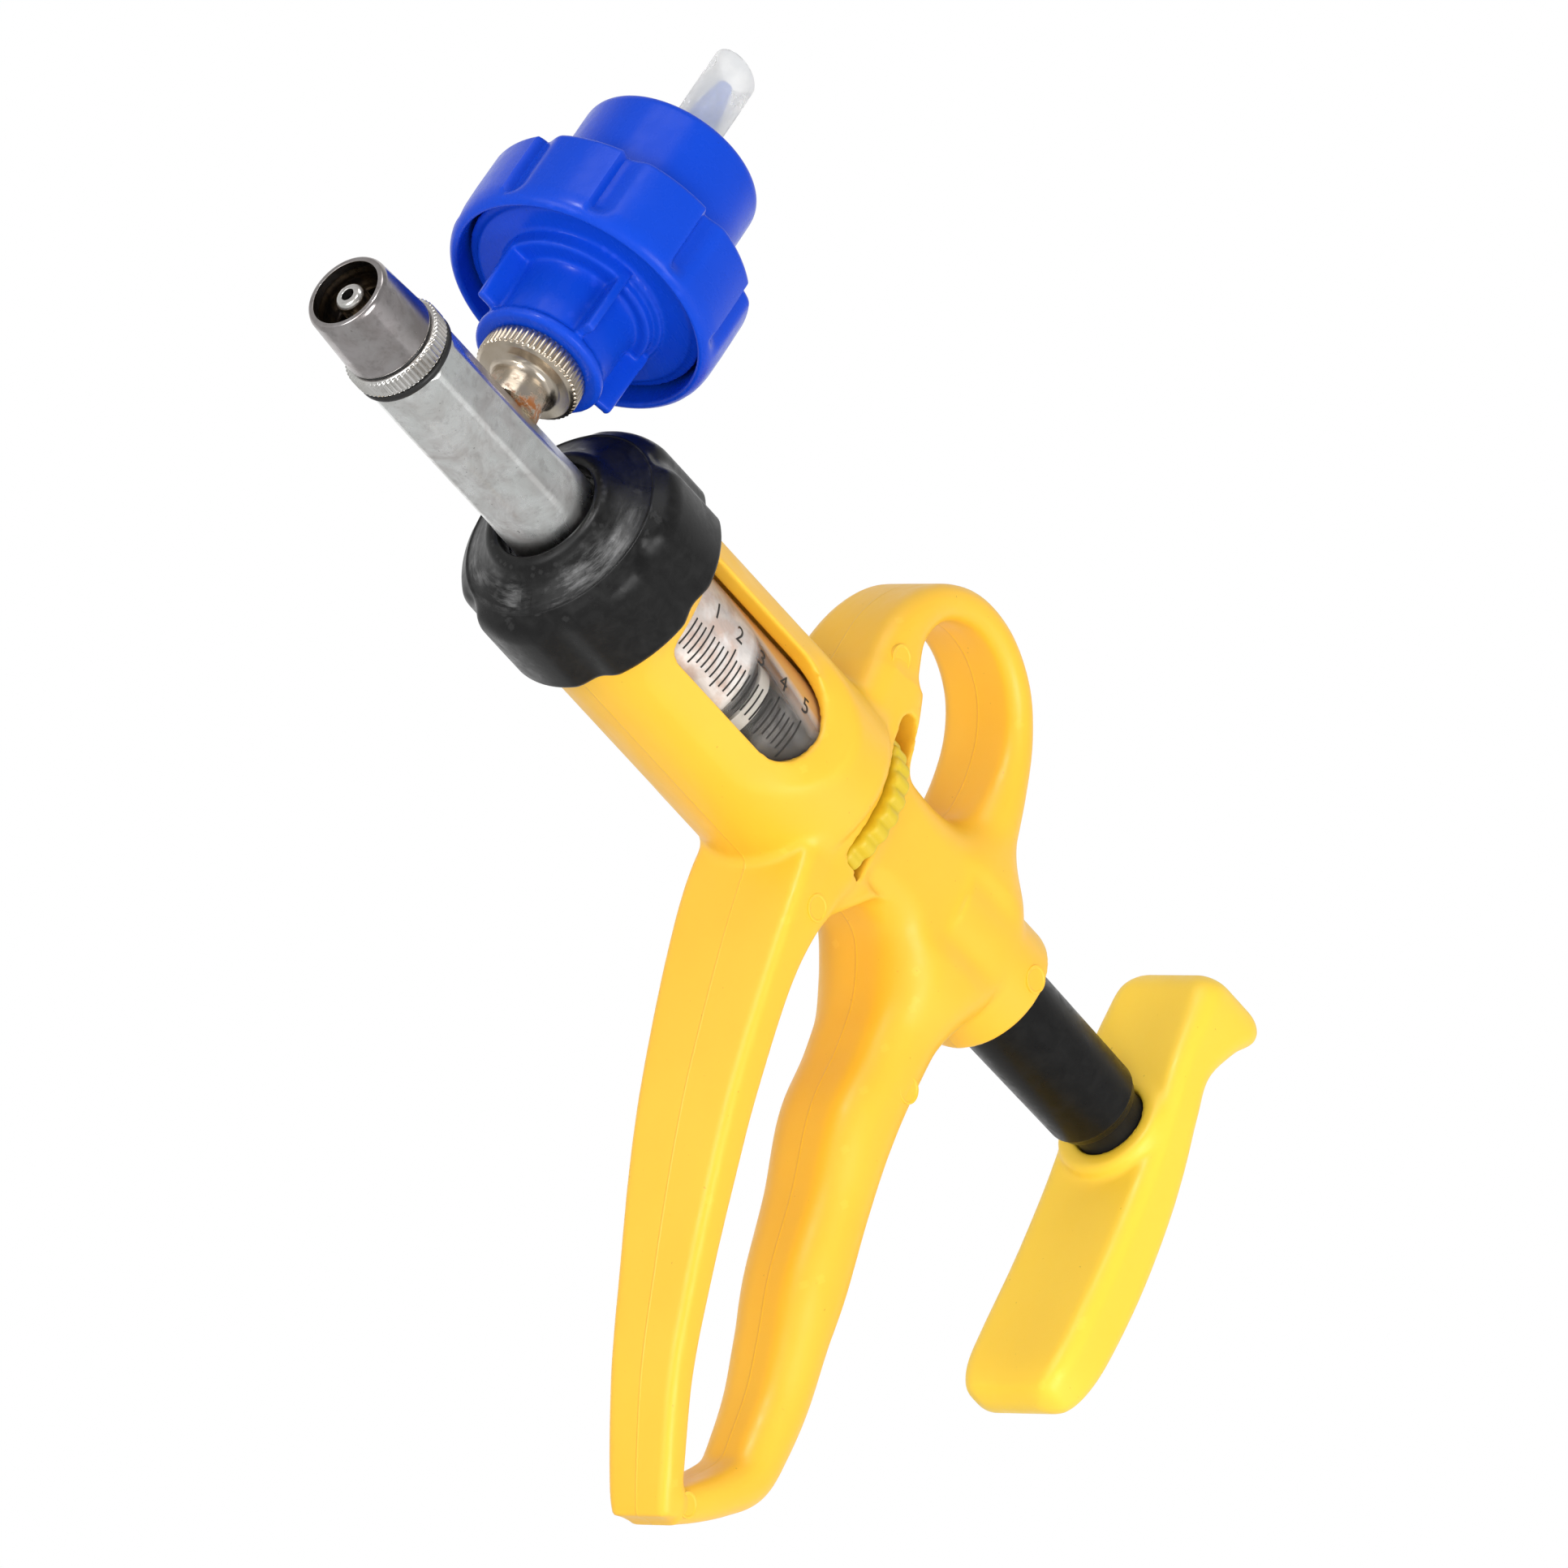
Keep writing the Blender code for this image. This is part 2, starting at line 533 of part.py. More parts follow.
def make_adapter_group(adapter, looks):
    """Blue bottle adapter: hub, ring nut, cup, gasket, spike and draw tube."""
    hub = turned("adapter_hub", [
        (HUB_FRONT, 0.0), (HUB_FRONT, 9.1), (HUB_FRONT + 0.5, 9.6), (16.8, 9.6), (17.4, 9.0),
        (18.0, 8.6), (23.8, 9.1), (25.5, 10.4), (25.9, 13.6), (27.1, 14.0), (27.1, HUB_DISC_RADIUS),
        (30.0, HUB_DISC_RADIUS), (30.0, 0.0)], FINE, adapter, looks["blue"])
    for i in range(HUB_FINS):
        angle = HUB_FIN_START + 2.0 * math.pi * i / HUB_FINS
        outline = [(6.0, 17.0), (10.4, 17.6), (13.4, 22.0), (14.4, 27.6), (6.0, 27.6)]
        fin = prism("fin_form_%d" % (i + 1), outline, -0.8, outline, 0.8, adapter)
        fin.rotation_euler = (0.0, 0.0, angle)
        boolean(hub, fin, "UNION")
    hub_bore = turned("hub_bore_cut", [
        (HUB_FRONT - 1.0, 0.0), (HUB_FRONT - 1.0, 5.2), (24.8, 5.2), (24.8, 1.5), (26.8, 1.5),
        (26.8, 3.3), (31.0, 3.3), (31.0, 0.0)], MEDIUM, adapter, None)
    boolean(hub, hub_bore, "DIFFERENCE")
    turned("hub_o_ring", o_ring_profile(24.1, 3.6, 1.1), SMALL, adapter, looks["rubber"])

    def notches(angle, along, radius):
        if radius < RING_RADIUS - 1.4:
            return radius
        phase = (angle * RING_NOTCHES / (2.0 * math.pi) + 0.5) % 1.0
        notch = max(0.0, 1.0 - abs(phase - 0.5) / 0.14)
        return radius - 1.0 * notch

    turned("ring_nut", [
        (RING_FRONT, HUB_DISC_RADIUS + 0.6), (RING_FRONT, RING_RADIUS - 1.2),
        (RING_FRONT + 1.2, RING_RADIUS), (RING_REAR - 0.5, RING_RADIUS),
        (RING_REAR, RING_RADIUS - 0.5), (RING_REAR, CUP_RADIUS + GAP), (36.6, CUP_RADIUS + GAP),
        (36.6, HUB_DISC_RADIUS + GAP)],
        5 * RING_NOTCHES, adapter, looks["blue"], rim=notches, start=RING_NOTCH_START)
    turned("bottle_cup", [
        (33.4, 4.0), (33.4, 17.7), (36.3, 17.7), (36.3, CUP_RADIUS), (CUP_REAR - 0.8, CUP_RADIUS),
        (CUP_REAR, CUP_RADIUS - 0.8), (CUP_REAR, CUP_BORE_RADIUS), (36.3, CUP_BORE_RADIUS),
        (36.3, 4.0)], FINE, adapter, looks["blue"])
    turned("cup_gasket", tube_profile(30.3, 33.1, 6.4, 17.6), MEDIUM, adapter, looks["rubber"])
    turned("bottle_spike", [
        (27.3, 1.0), (27.3, 3.0), (30.3, 3.0), (30.3, 5.9), (32.8, 5.9), (32.8, 3.4), (44.0, 3.2),
        (44.0, 2.5), (56.0, 2.4), (62.6, 1.3), (62.6, 1.0)], MEDIUM, adapter, looks["blue"])
    turned("draw_tube", tube_profile(44.3, TUBE_TIP, 2.8, DRAW_TUBE_RADIUS),
           MEDIUM, adapter, looks["tube"])


def make_dose_group(barrel, looks):
    """Dose wheel and the threaded sleeve that stops the piston."""
    def scallops(angle, along, radius):
        if radius < WHEEL_RADIUS - 0.5:
            return radius
        return radius - 0.35 * (1.0 - math.cos(WHEEL_SCALLOPS * angle))

    turned("dose_wheel", [
        (WHEEL_FRONT_X, DOSE_BORE_RADIUS), (WHEEL_FRONT_X, WHEEL_RADIUS), (WHEEL_REAR_X, WHEEL_RADIUS),
        (WHEEL_REAR_X, DOSE_BORE_RADIUS)], 2 * WHEEL_SCALLOPS, barrel, looks["wheel"], rim=scallops)
    turned("dose_sleeve", tube_profile(DOSE_SLEEVE_FRONT_X, DOSE_SLEEVE_REAR_X, 3.1,
                                       DOSE_SLEEVE_RADIUS), MEDIUM, barrel, looks["black"])


def make_plunger_group(barrel, looks):
    """Piston, rod, slide tube and return spring."""
    turned("piston", [
        (PISTON_FRONT_X, 0.0), (PISTON_FRONT_X, PISTON_RADIUS), (92.1, PISTON_RADIUS), (92.1, 5.0),
        (94.6, 5.0), (94.6, PISTON_RADIUS), (PISTON_REAR_X, PISTON_RADIUS), (PISTON_REAR_X, 2.8),
        (91.9, 2.8), (91.9, 0.0)], FINE, barrel, looks["white"])
    turned("piston_o_ring", [
        (92.4, 5.3), (92.4, 6.7), (92.9, 7.35), (93.8, 7.35), (94.3, 6.7), (94.3, 5.3)],
        FINE, barrel, looks["rubber"])
    turned("piston_rod", [
        (92.2, 0.0), (92.2, ROD_RADIUS), (ROD_REAR_X, ROD_RADIUS), (ROD_REAR_X, 0.0)],
        SMALL, barrel, looks["steel"])
    turned("slide_tube", [
        (TUBE_FRONT_X, TUBE_BORE_RADIUS), (TUBE_FRONT_X, 7.3), (TUBE_REAR_X - 0.4, 6.9),
        (TUBE_REAR_X, 6.5), (TUBE_REAR_X, 5.4), (TUBE_SPIGOT_REAR_X, 5.4),
        (TUBE_SPIGOT_REAR_X, ROD_RADIUS + GAP), (TUBE_WALL_FRONT_X, ROD_RADIUS + GAP),
        (TUBE_WALL_FRONT_X, TUBE_BORE_RADIUS)], MEDIUM, barrel, looks["black"])
    coil("return_spring", WEB_REAR_X + GAP, TUBE_WALL_FRONT_X - GAP, 4.4, 0.9, 10.0, barrel,
         looks["steel"])


def main():
    clear_scene()
    looks = make_materials()
    design, barrel, adapter = make_axes()
    make_frame(design, barrel, looks["yellow"])
    make_t_handle(design, barrel, looks["yellow"])
    make_barrel_group(barrel, looks)
    make_valve_group(barrel, adapter, looks)
    make_inlet_group(barrel, adapter, looks)
    make_adapter_group(adapter, looks)
    make_dose_group(barrel, looks)
    make_plunger_group(barrel, looks)


main()
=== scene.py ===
import math

import bmesh
import bpy
import numpy as np
from mathutils import Matrix, Vector


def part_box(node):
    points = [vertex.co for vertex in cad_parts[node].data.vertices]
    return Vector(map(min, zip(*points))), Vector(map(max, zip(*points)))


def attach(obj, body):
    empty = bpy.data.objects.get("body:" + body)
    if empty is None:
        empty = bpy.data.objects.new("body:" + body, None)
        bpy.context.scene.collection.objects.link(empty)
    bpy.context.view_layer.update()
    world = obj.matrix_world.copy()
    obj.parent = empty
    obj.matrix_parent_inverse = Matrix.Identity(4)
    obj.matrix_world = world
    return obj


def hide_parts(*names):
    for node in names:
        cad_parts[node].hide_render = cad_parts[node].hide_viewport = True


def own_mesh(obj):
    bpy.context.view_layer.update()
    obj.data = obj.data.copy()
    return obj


# Looks of a repeating injector gun. Shapes are worked out in millimetres in the design frame:
# +X along the barrel from the needle end, +Z to the bottle side, origin on the barrel axis.
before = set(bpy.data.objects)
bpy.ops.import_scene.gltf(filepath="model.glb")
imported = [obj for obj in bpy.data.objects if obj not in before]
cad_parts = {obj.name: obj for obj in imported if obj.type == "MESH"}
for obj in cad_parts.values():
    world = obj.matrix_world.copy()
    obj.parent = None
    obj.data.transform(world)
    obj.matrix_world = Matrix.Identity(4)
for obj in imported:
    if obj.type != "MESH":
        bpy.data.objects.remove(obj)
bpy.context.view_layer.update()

MM = 0.001
FULL_TURN = 2.0 * math.pi
HOOD_FRONT = 1.7
ORIGIN_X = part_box("luer_hood")[0].x - HOOD_FRONT * MM
ORIGIN_Z = 0.5 * (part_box("glass_barrel")[0].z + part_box("glass_barrel")[1].z)
# The adapter's axis leans back from the barrel's axis, which it meets here.
ADAPTER_X = 36.4
ADAPTER_LEAN = math.radians(11.0)
LEAN_COS = math.cos(ADAPTER_LEAN)
LEAN_SIN = math.sin(ADAPTER_LEAN)
BODY = "injector_body"


def design(points):
    """Design millimetres to the row frame in metres."""
    out = np.asarray(points, dtype=float) * MM
    out[..., 0] += ORIGIN_X
    out[..., 2] += ORIGIN_Z
    return out


def on_barrel(along, radius, angle):
    """Barrel axis: angle 0 points to -Z and a quarter turn points to +Y."""
    return np.stack([along + 0.0 * angle, radius * np.sin(angle), -radius * np.cos(angle)], -1)


def on_adapter(along, radius, angle):
    """Adapter axis: angle 0 points towards +X and a quarter turn points to +Y."""
    across = radius * np.cos(angle)
    return np.stack([ADAPTER_X + across * LEAN_COS + along * LEAN_SIN, radius * np.sin(angle),
                     along * LEAN_COS - across * LEAN_SIN], -1)


# ---------------- meshes

# A rounding takes up at most this part of each edge beside it.
LONGEST_CUT = 0.48
SMOOTHING_PASSES = 2
# Steps between two stations of a sweep, the rounding of its ends and its fullest corner.
SWEEP_STEPS = 12
SWEEP_END = 1.5
FULLEST_CORNER = 0.98
ON_AXIS = 1e-9
MERGE_DISTANCE = 1e-7


def add_object(name, data):
    made = bpy.data.objects.new(name, data)
    bpy.context.scene.collection.objects.link(made)
    return made


def add_mesh(name, vertices, faces, look, smooth_angle=40.0):
    """Mesh object in the row frame from design-frame vertices."""
    mesh = bpy.data.meshes.new(name)
    mesh.from_pydata(design(vertices).tolist(), [], faces)
    mesh.validate()
    mesh.shade_smooth()
    mesh.set_sharp_from_angle(angle=math.radians(smooth_angle))
    mesh.materials.append(look.material)
    return add_object(name, mesh)


def show(made, node, body):
    """Ride on a body, and stand for a CAD node unless the piece is an extra one."""
    if node:
        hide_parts(node)
    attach(made, body)


def soften(points, closed, arc):
    """Profile with its corners rounded: each point is (along, radius, cut length)."""
    result = []
    count = len(points)
    for i, point in enumerate(points):
        here = np.array(point[:2], dtype=float)
        inner = closed or 0 < i < count - 1
        if len(point) == 2 or not inner:
            result.append(here)
            continue
        ends = []
        for other in (points[i - 1], points[(i + 1) % count]):
            edge = np.array(other[:2], dtype=float) - here
            length = np.linalg.norm(edge)
            ends.append(here + edge / length * min(point[2], LONGEST_CUT * length))
        for k in range(arc + 1):
            t = k / arc
            result.append((1 - t) ** 2 * ends[0] + 2 * t * (1 - t) * here + t * t * ends[1])
    return np.array(result)


def clean(made, merge=True):
    """Point the normals outwards, after merging doubled points and dropping loose ones."""
    bm = bmesh.new()
    bm.from_mesh(made.data)
    if merge:
        bmesh.ops.remove_doubles(bm, verts=bm.verts, dist=MERGE_DISTANCE)
        loose = [v for v in bm.verts if not v.link_faces]
        bmesh.ops.delete(bm, geom=loose, context="VERTS")
    bmesh.ops.recalc_face_normals(bm, faces=bm.faces)
    bm.to_mesh(made.data)
    bm.free()


def turned(name, node, body, look, profile, place=on_barrel, segments=96, rim=None, arc=5):
    """Turned piece. A profile with both ends on the axis is solid, any other closes into a ring."""
    closed = profile[0][1] > 0.0
    points = soften(profile, closed, arc)
    rings = len(points)
    angle = np.arange(segments) * FULL_TURN / segments
    along = np.repeat(points[:, :1], segments, axis=1)
    radius = np.repeat(points[:, 1:], segments, axis=1)
    around = np.repeat(angle[None, :], rings, axis=0)
    if rim:
        along, radius = rim(along, radius, around)
    faces = []
    for i in range(rings if closed else rings - 1):
        j = (i + 1) % rings
        for k in range(segments):
            m = (k + 1) % segments
            if points[i, 1] <= ON_AXIS:
                face = [i * segments, j * segments + m, j * segments + k]
            elif points[j, 1] <= ON_AXIS:
                face = [i * segments + k, i * segments + m, j * segments]
            else:
                face = [i * segments + k, i * segments + m, j * segments + m, j * segments + k]
            faces.append(face)
    made = add_mesh(name, place(along, radius, around).reshape(-1, 3), faces, look)
    clean(made)
    show(made, node, body)


def surface_nets(name, field, low, cell, look):
    """Closed mesh of a signed distance grid (negative inside) whose first point is low."""
    inside = field < 0.0
    shape = [n - 1 for n in field.shape]
    corner = {}
    total = np.zeros(shape, dtype=np.int8)
    for i in (0, 1):
        for j in (0, 1):
            for k in (0, 1):
                part = (slice(i, i + shape[0]), slice(j, j + shape[1]), slice(k, k + shape[2]))
                corner[i, j, k] = part
                total += inside[part]
    # One vertex in each cell that the surface crosses, at the mean of its edge crossings.
    mask = (total > 0) & (total < 8)
    cells = np.argwhere(mask)
    where = np.zeros((len(cells), 3))
    crossings = np.zeros(len(cells))
    for a in corner:
        for axis in range(3):
            if a[axis]:
                continue
            b = list(a)
            b[axis] = 1
            va = field[corner[a]][mask]
            vb = field[corner[tuple(b)]][mask]
            cross = (va < 0.0) != (vb < 0.0)
            t = np.where(cross, va / np.where(cross, va - vb, 1.0), 0.0)
            spot = np.repeat(np.array(a, dtype=float)[None, :], len(cells), axis=0)
            spot[:, axis] += t
            where += spot * cross[:, None]
            crossings += cross
    vertices = (cells + where / crossings[:, None]) * cell + np.array(low)
    index = np.full(shape, -1, dtype=np.int64)
    index[mask] = np.arange(len(cells))
    # One quad around each grid edge that the surface crosses, turned to face outwards.
    quads = []
    for axis in range(3):
        others = [x for x in range(3) if x != axis]
        span = [slice(1, n) for n in shape]
        span[axis] = slice(0, shape[axis])
        ahead = list(span)
        ahead[axis] = slice(1, shape[axis] + 1)
        a = inside[tuple(span)]
        b = inside[tuple(ahead)]
        base = np.argwhere(a != b)
        for x in others:
            base[:, x] += 1
        rising = a[tuple((base - np.array([0 if x == axis else 1 for x in range(3)])).T)]
        ring = []
        for steps in ((0, 0), (-1, 0), (-1, -1), (0, -1)):
            spot = base.copy()
            spot[:, others] += steps
            ring.append(index[tuple(spot.T)])
        ring = np.stack(ring, -1)
        flip = rising if axis != 1 else ~rising
        ring[~flip] = ring[~flip][:, ::-1]
        quads.append(ring)
    faces = np.concatenate(quads)
    for _ in range(SMOOTHING_PASSES):
        total_at = np.zeros_like(vertices)
        count_at = np.zeros(len(vertices))
        for k in range(4):
            one, two = faces[:, k], faces[:, (k + 1) % 4]
            for at, other in ((one, two), (two, one)):
                np.add.at(total_at, at, vertices[other])
                np.add.at(count_at, at, 1.0)
        vertices = 0.5 * vertices + 0.5 * total_at / count_at[:, None]
    return add_mesh(name, vertices, faces.tolist(), look, smooth_angle=60.0)


def catmull(points, steps):
    """Smooth table of values through stations."""
    table = np.array(points, dtype=float)
    padded = np.vstack([table[:1], table, table[-1:]])
    rows = []
    for i in range(len(table) - 1):
        p0, p1, p2, p3 = padded[i:i + 4]
        for k in range(steps):
            f = k / steps
            rows.append(0.5 * (2 * p1 + (p2 - p0) * f + (2 * p0 - 5 * p1 + 4 * p2 - p3) * f * f
                               + (3 * p1 - p0 - 3 * p2 + p3) * f ** 3))
    rows.append(table[-1])
    return np.array(rows)


def smooth_union(a, b, k):
    """Union of two distances with a fillet of about k."""
    h = np.clip(0.5 + 0.5 * (b - a) / k, 0.0, 1.0)
    return b + (a - b) * h - k * h * (1.0 - h)


def joined(solid, *parts):
    """Union with further parts, each given with the size of its fillet."""
    for part, k in parts:
        solid = smooth_union(solid, part, k)
    return solid


def smooth_cut(a, b, k):
    """a without b."""
    return -smooth_union(-a, b, k)


def rounded_end(side, end, radius):
    """Corner of two surfaces with a rounding."""
    a = side + radius
    b = end + radius
    return np.minimum(np.maximum(a, b), 0.0) + np.hypot(np.maximum(a, 0.0), np.maximum(b, 0.0)) - radius


def step_between(value, low, high):
    """Smooth step from 0 at low to 1 at high."""
    t = np.clip((value - low) / (high - low), 0.0, 1.0)
    return t * t * (3.0 - 2.0 * t)


def grid(low, high, cell):
    """Points of a grid through a box, as three axes that spread over one another."""
    axes = [np.arange(a, b + cell, cell) for a, b in zip(low, high)]
    return np.meshgrid(*axes, indexing="ij", sparse=True)


def nearest_on_path(path, gx, gz):
    """Offset to the side, distance past the ends and station values at the nearest place."""
    best = np.full(gx.shape, np.inf)
    across = np.zeros(gx.shape)
    past = np.zeros(gx.shape)
    values = np.zeros((path.shape[1], *gx.shape))
    last = len(path) - 2
    for i in range(last + 1):
        step = path[i + 1] - path[i]
        length = math.hypot(step[0], step[1])
        ux, uz = step[0] / length, step[1] / length
        s = (gx - path[i, 0]) * ux + (gz - path[i, 1]) * uz
        t = np.clip(s / length, 0.0, 1.0)
        far = np.hypot(gx - path[i, 0] - t * step[0], gz - path[i, 1] - t * step[1])
        near = far < best
        best[near] = far[near]
        across[near] = ((gx - path[i, 0]) * uz - (gz - path[i, 1]) * ux)[near]
        before = -s if i == 0 else -1.0
        beyond = s - length if i == last else -1.0
        past[near] = (np.maximum(before, beyond) + 0.0 * s)[near]
        for n, column in enumerate(step):
            values[n][near] = (path[i, n] + t * column)[near]
    return across, past, values


def swept(stations, x, y, z, upright=False, level=False):
    """Distance to a rounded-rectangle sweep through (x, z, depth, width, corner) stations."""
    path = catmull(stations, SWEEP_STEPS)
    gx = x[:, 0] + 0.0 * z[0]
    gz = z[0] + 0.0 * x[:, 0]
    if upright or level:
        key = path[:, 1] if upright else path[:, 0]
        at = gz if upright else gx
        order = np.argsort(key)
        values = [np.interp(at, key[order], column[order]) for column in path.T]
        across = gx - values[0] if upright else gz - values[1]
        past = np.maximum(at - key.max(), key.min() - at)
    else:
        across, past, values = nearest_on_path(path, gx, gz)
    half_depth = 0.5 * values[2]
    half_width = 0.5 * values[3]
    corner = np.minimum(values[4], np.minimum(half_depth, half_width) * FULLEST_CORNER)
    flat = rounded_end((np.abs(across) - half_depth)[:, None, :], np.abs(y) - half_width[:, None, :],
                       corner[:, None, :])
    return rounded_end(flat, past[:, None, :], SWEEP_END)


# ---------------- materials

class Nodes:
    """Short forms for building one node tree."""

    def __init__(self, tree):
        self.tree = tree

    def feed(self, socket, value):
        """Link a socket to another node's output, or set it to a number, vector or colour."""
        if isinstance(value, bpy.types.NodeSocket):
            self.tree.links.new(value, socket)
        else:
            socket.default_value = (*value, 1.0) if socket.type == "RGBA" else value

    def node(self, kind, values=None, **settings):
        made = self.tree.nodes.new(kind)
        for key, value in settings.items():
            setattr(made, key, value)
        for key, value in (values or {}).items():
            self.feed(made.inputs[key], value)
        return made

    def remap(self, value, low, high, to_low=0.0, to_high=1.0, **settings):
        made = self.node("ShaderNodeMapRange", {
            "Value": value, "From Min": low, "From Max": high, "To Min": to_low, "To Max": to_high},
            **settings)
        return made.outputs["Result"]

    def math(self, operation, a, b):
        return self.node("ShaderNodeMath", {0: a, 1: b}, operation=operation).outputs["Value"]


class Look(Nodes):
    """One material for the pieces in one slot."""

    def __init__(self, name, slot, colour, roughness, metallic=0.0):
        self.material = bpy.data.materials.new(name)
        self.material.use_nodes = True
        super().__init__(self.material.node_tree)
        self.slot = slot
        self.put("Base Color", colour)
        self.put("Roughness", roughness)
        self.put("Metallic", metallic)
        self.coordinates = self.node("ShaderNodeTexCoord").outputs["Object"]

    def put(self, socket, value):
        """Set or link one of the shader's sockets."""
        self.feed(self.tree.nodes["Principled BSDF"].inputs[socket], value)

    def uneven_roughness(self, value, low, high):
        self.put("Roughness", self.remap(value, 0.3, 0.7, low, high))

    def grain(self, height, strength, distance):
        self.put("Normal", self.bump(height, strength, distance))

    def axes(self):
        """Coordinates in the row frame, in metres."""
        return self.node("ShaderNodeSeparateXYZ", {"Vector": self.coordinates}).outputs

    def noise(self, scale, detail=3.0, roughness=0.55, stretch=None, distortion=0.0, source=None):
        source = source or self.coordinates
        if stretch:
            mapping = self.node("ShaderNodeMapping", {"Vector": source, "Scale": stretch})
            source = mapping.outputs["Vector"]
        return self.node("ShaderNodeTexNoise", {
            "Vector": source, "Scale": scale, "Detail": detail, "Roughness": roughness,
            "Distortion": distortion}).outputs["Fac"]

    def mix(self, factor, a, b):
        """Colour a where factor is 0 and colour b where it is 1."""
        return self.node("ShaderNodeMix", {0: factor, 6: a, 7: b}, data_type="RGBA").outputs[2]

    def edges(self):
        """High on convex edges, from the surface itself."""
        return self.node("ShaderNodeNewGeometry").outputs["Pointiness"]

    def bump(self, height, strength, distance, after=None):
        values = {"Height": height, "Strength": strength, "Distance": distance}
        if after:
            values["Normal"] = after
        return self.node("ShaderNodeBump", values).outputs["Normal"]


def moulded(name, slot, colour, deep, roughness, seam=False, specks=True):
    """Satin moulded plastic: slow colour drift, fine orange peel, scuffs and a few dark specks."""
    look = Look(name, slot, colour, roughness)
    drift = look.remap(look.noise(45.0, 2.0), 0.35, 0.65, 0.0, 0.35)
    base = look.mix(drift, colour, deep)
    worn = look.remap(look.edges(), 0.505, 0.56, 0.0, 0.35)
    light = tuple(min(1.0, c * 1.12 + 0.02) for c in colour)
    base = look.mix(worn, base, light)
    if specks:
        spots = look.remap(look.noise(1900.0, 0.0), 0.865, 0.89, 0.0, 0.45)
        base = look.mix(spots, base, tuple(0.45 * c for c in deep))
    look.put("Base Color", base)
    scuff = look.noise(700.0, 4.0, 0.6, stretch=(0.25, 1.0, 0.6))
    look.uneven_roughness(scuff, roughness - 0.05, roughness + 0.10)
    peel = look.bump(look.noise(900.0, 2.0), 0.12, 0.00006)
    if seam:
        # The parting line of the mould runs along the middle plane.
        away = look.math("ABSOLUTE", look.axes()["Y"], 0.0)
        ridge = look.remap(away, 0.0, 0.00022, 1.0, 0.0)
        peel = look.bump(ridge, 0.55, 0.00012, after=peel)
    look.put("Normal", peel)
    return look


yellow = moulded("yellow_moulding", "yellow_plastic", (0.93, 0.53, 0.035), (0.90, 0.47, 0.022), 0.40,
                 seam=True)
# The handle's copy of the yellow plastic is painted lighter: painted light for the light that falls on
# the handle.
handle_yellow_painted_light = moulded("yellow_handle_painted_light", "yellow_plastic", (0.96, 0.635, 0.046),
                        (0.95, 0.59, 0.032), 0.42)
for soft_look in (yellow, handle_yellow_painted_light):
    soft_look.put("Subsurface Weight", 0.04)
    soft_look.put("Subsurface Scale", 0.002)
wheel_look = moulded("dose_wheel_moulding", "wheel_plastic", (0.69, 0.50, 0.018),
                     (0.60, 0.41, 0.012), 0.42, specks=False)
blue = moulded("blue_moulding", "blue_plastic", (0.004, 0.058, 0.57), (0.003, 0.045, 0.47), 0.25)
blue.put("Specular IOR Level", 0.15)
# The spike's copy of the blue plastic is painted lighter: painted light for the light that the draw tube
# keeps off it.
spike_painted_lighter = moulded("blue_spike_painted_lighter", "blue_plastic", (0.010, 0.20, 0.86),
                     (0.008, 0.15, 0.74), 0.30)


def black_plastic(name, dust, scuff_and_sheen_cone=False):
    """Black moulded plastic with a dusty film; on the nut also a grey band of scuffs and painted sheen.
    """
    black = (0.006, 0.006, 0.006)
    look = Look(name, "black_plastic", black, 0.34)
    look.put("Specular IOR Level", 0.24)
    cloud = look.noise(420.0, 5.0, 0.65, distortion=0.6)
    dust_and_sheen = look.remap(cloud, 0.45, 0.75, 0.0, dust)
    if scuff_and_sheen_cone:
        # A grey band around the concave front of the nut: scuffs, and painted sheen that is strongest on
        # the -Z side.
        parts = look.axes()
        lift = look.math("SUBTRACT", parts["Z"], ORIGIN_Z)
        reach = look.math("ADD", look.math("MULTIPLY", lift, lift),
                          look.math("MULTIPLY", parts["Y"], parts["Y"]))
        reach = look.math("SQRT", reach, 0.0)
        band = look.math("MULTIPLY", look.remap(reach, 0.0100, 0.0118),
                         look.remap(reach, 0.0138, 0.0152, 1.0, 0.0))
        around = look.math("ARCTAN2", parts["Y"], lift)
        around = look.math("MULTIPLY", around, 0.0022)
        wound = look.node("ShaderNodeCombineXYZ", {"X": reach, "Y": around}).outputs["Vector"]
        grain = look.noise(1100.0, 5.0, 0.7, source=wound)
        grain = look.remap(grain, 0.42, 0.68)
        patch = look.remap(look.noise(95.0, 3.0, 0.6, distortion=0.6), 0.44, 0.58, 0.08, 1.0)
        # Painted sheen: the band is strongest on the -Z side and fades out towards +Z.
        patch = look.math("MULTIPLY", patch, look.remap(lift, -0.004, 0.006, 1.0, 0.06))
        grain = look.math("MULTIPLY", grain, patch)
        dust_and_sheen = look.math("ADD", dust_and_sheen, look.math("MULTIPLY", band, grain))
    worn = look.remap(look.edges(), 0.51, 0.58, 0.0, 0.25)
    base = look.mix(dust_and_sheen, black, (0.16, 0.16, 0.16))
    look.put("Base Color", look.mix(worn, base, (0.06, 0.06, 0.06)))
    look.uneven_roughness(cloud, 0.24, 0.46)
    look.grain(look.noise(1400.0, 3.0), 0.25, 0.00005)
    return look


nut_black = black_plastic("nut_black", 0.045, scuff_and_sheen_cone=True)
tube_black = black_plastic("slide_tube_black", 0.03)
tube_black.put("Specular IOR Level", 0.16)


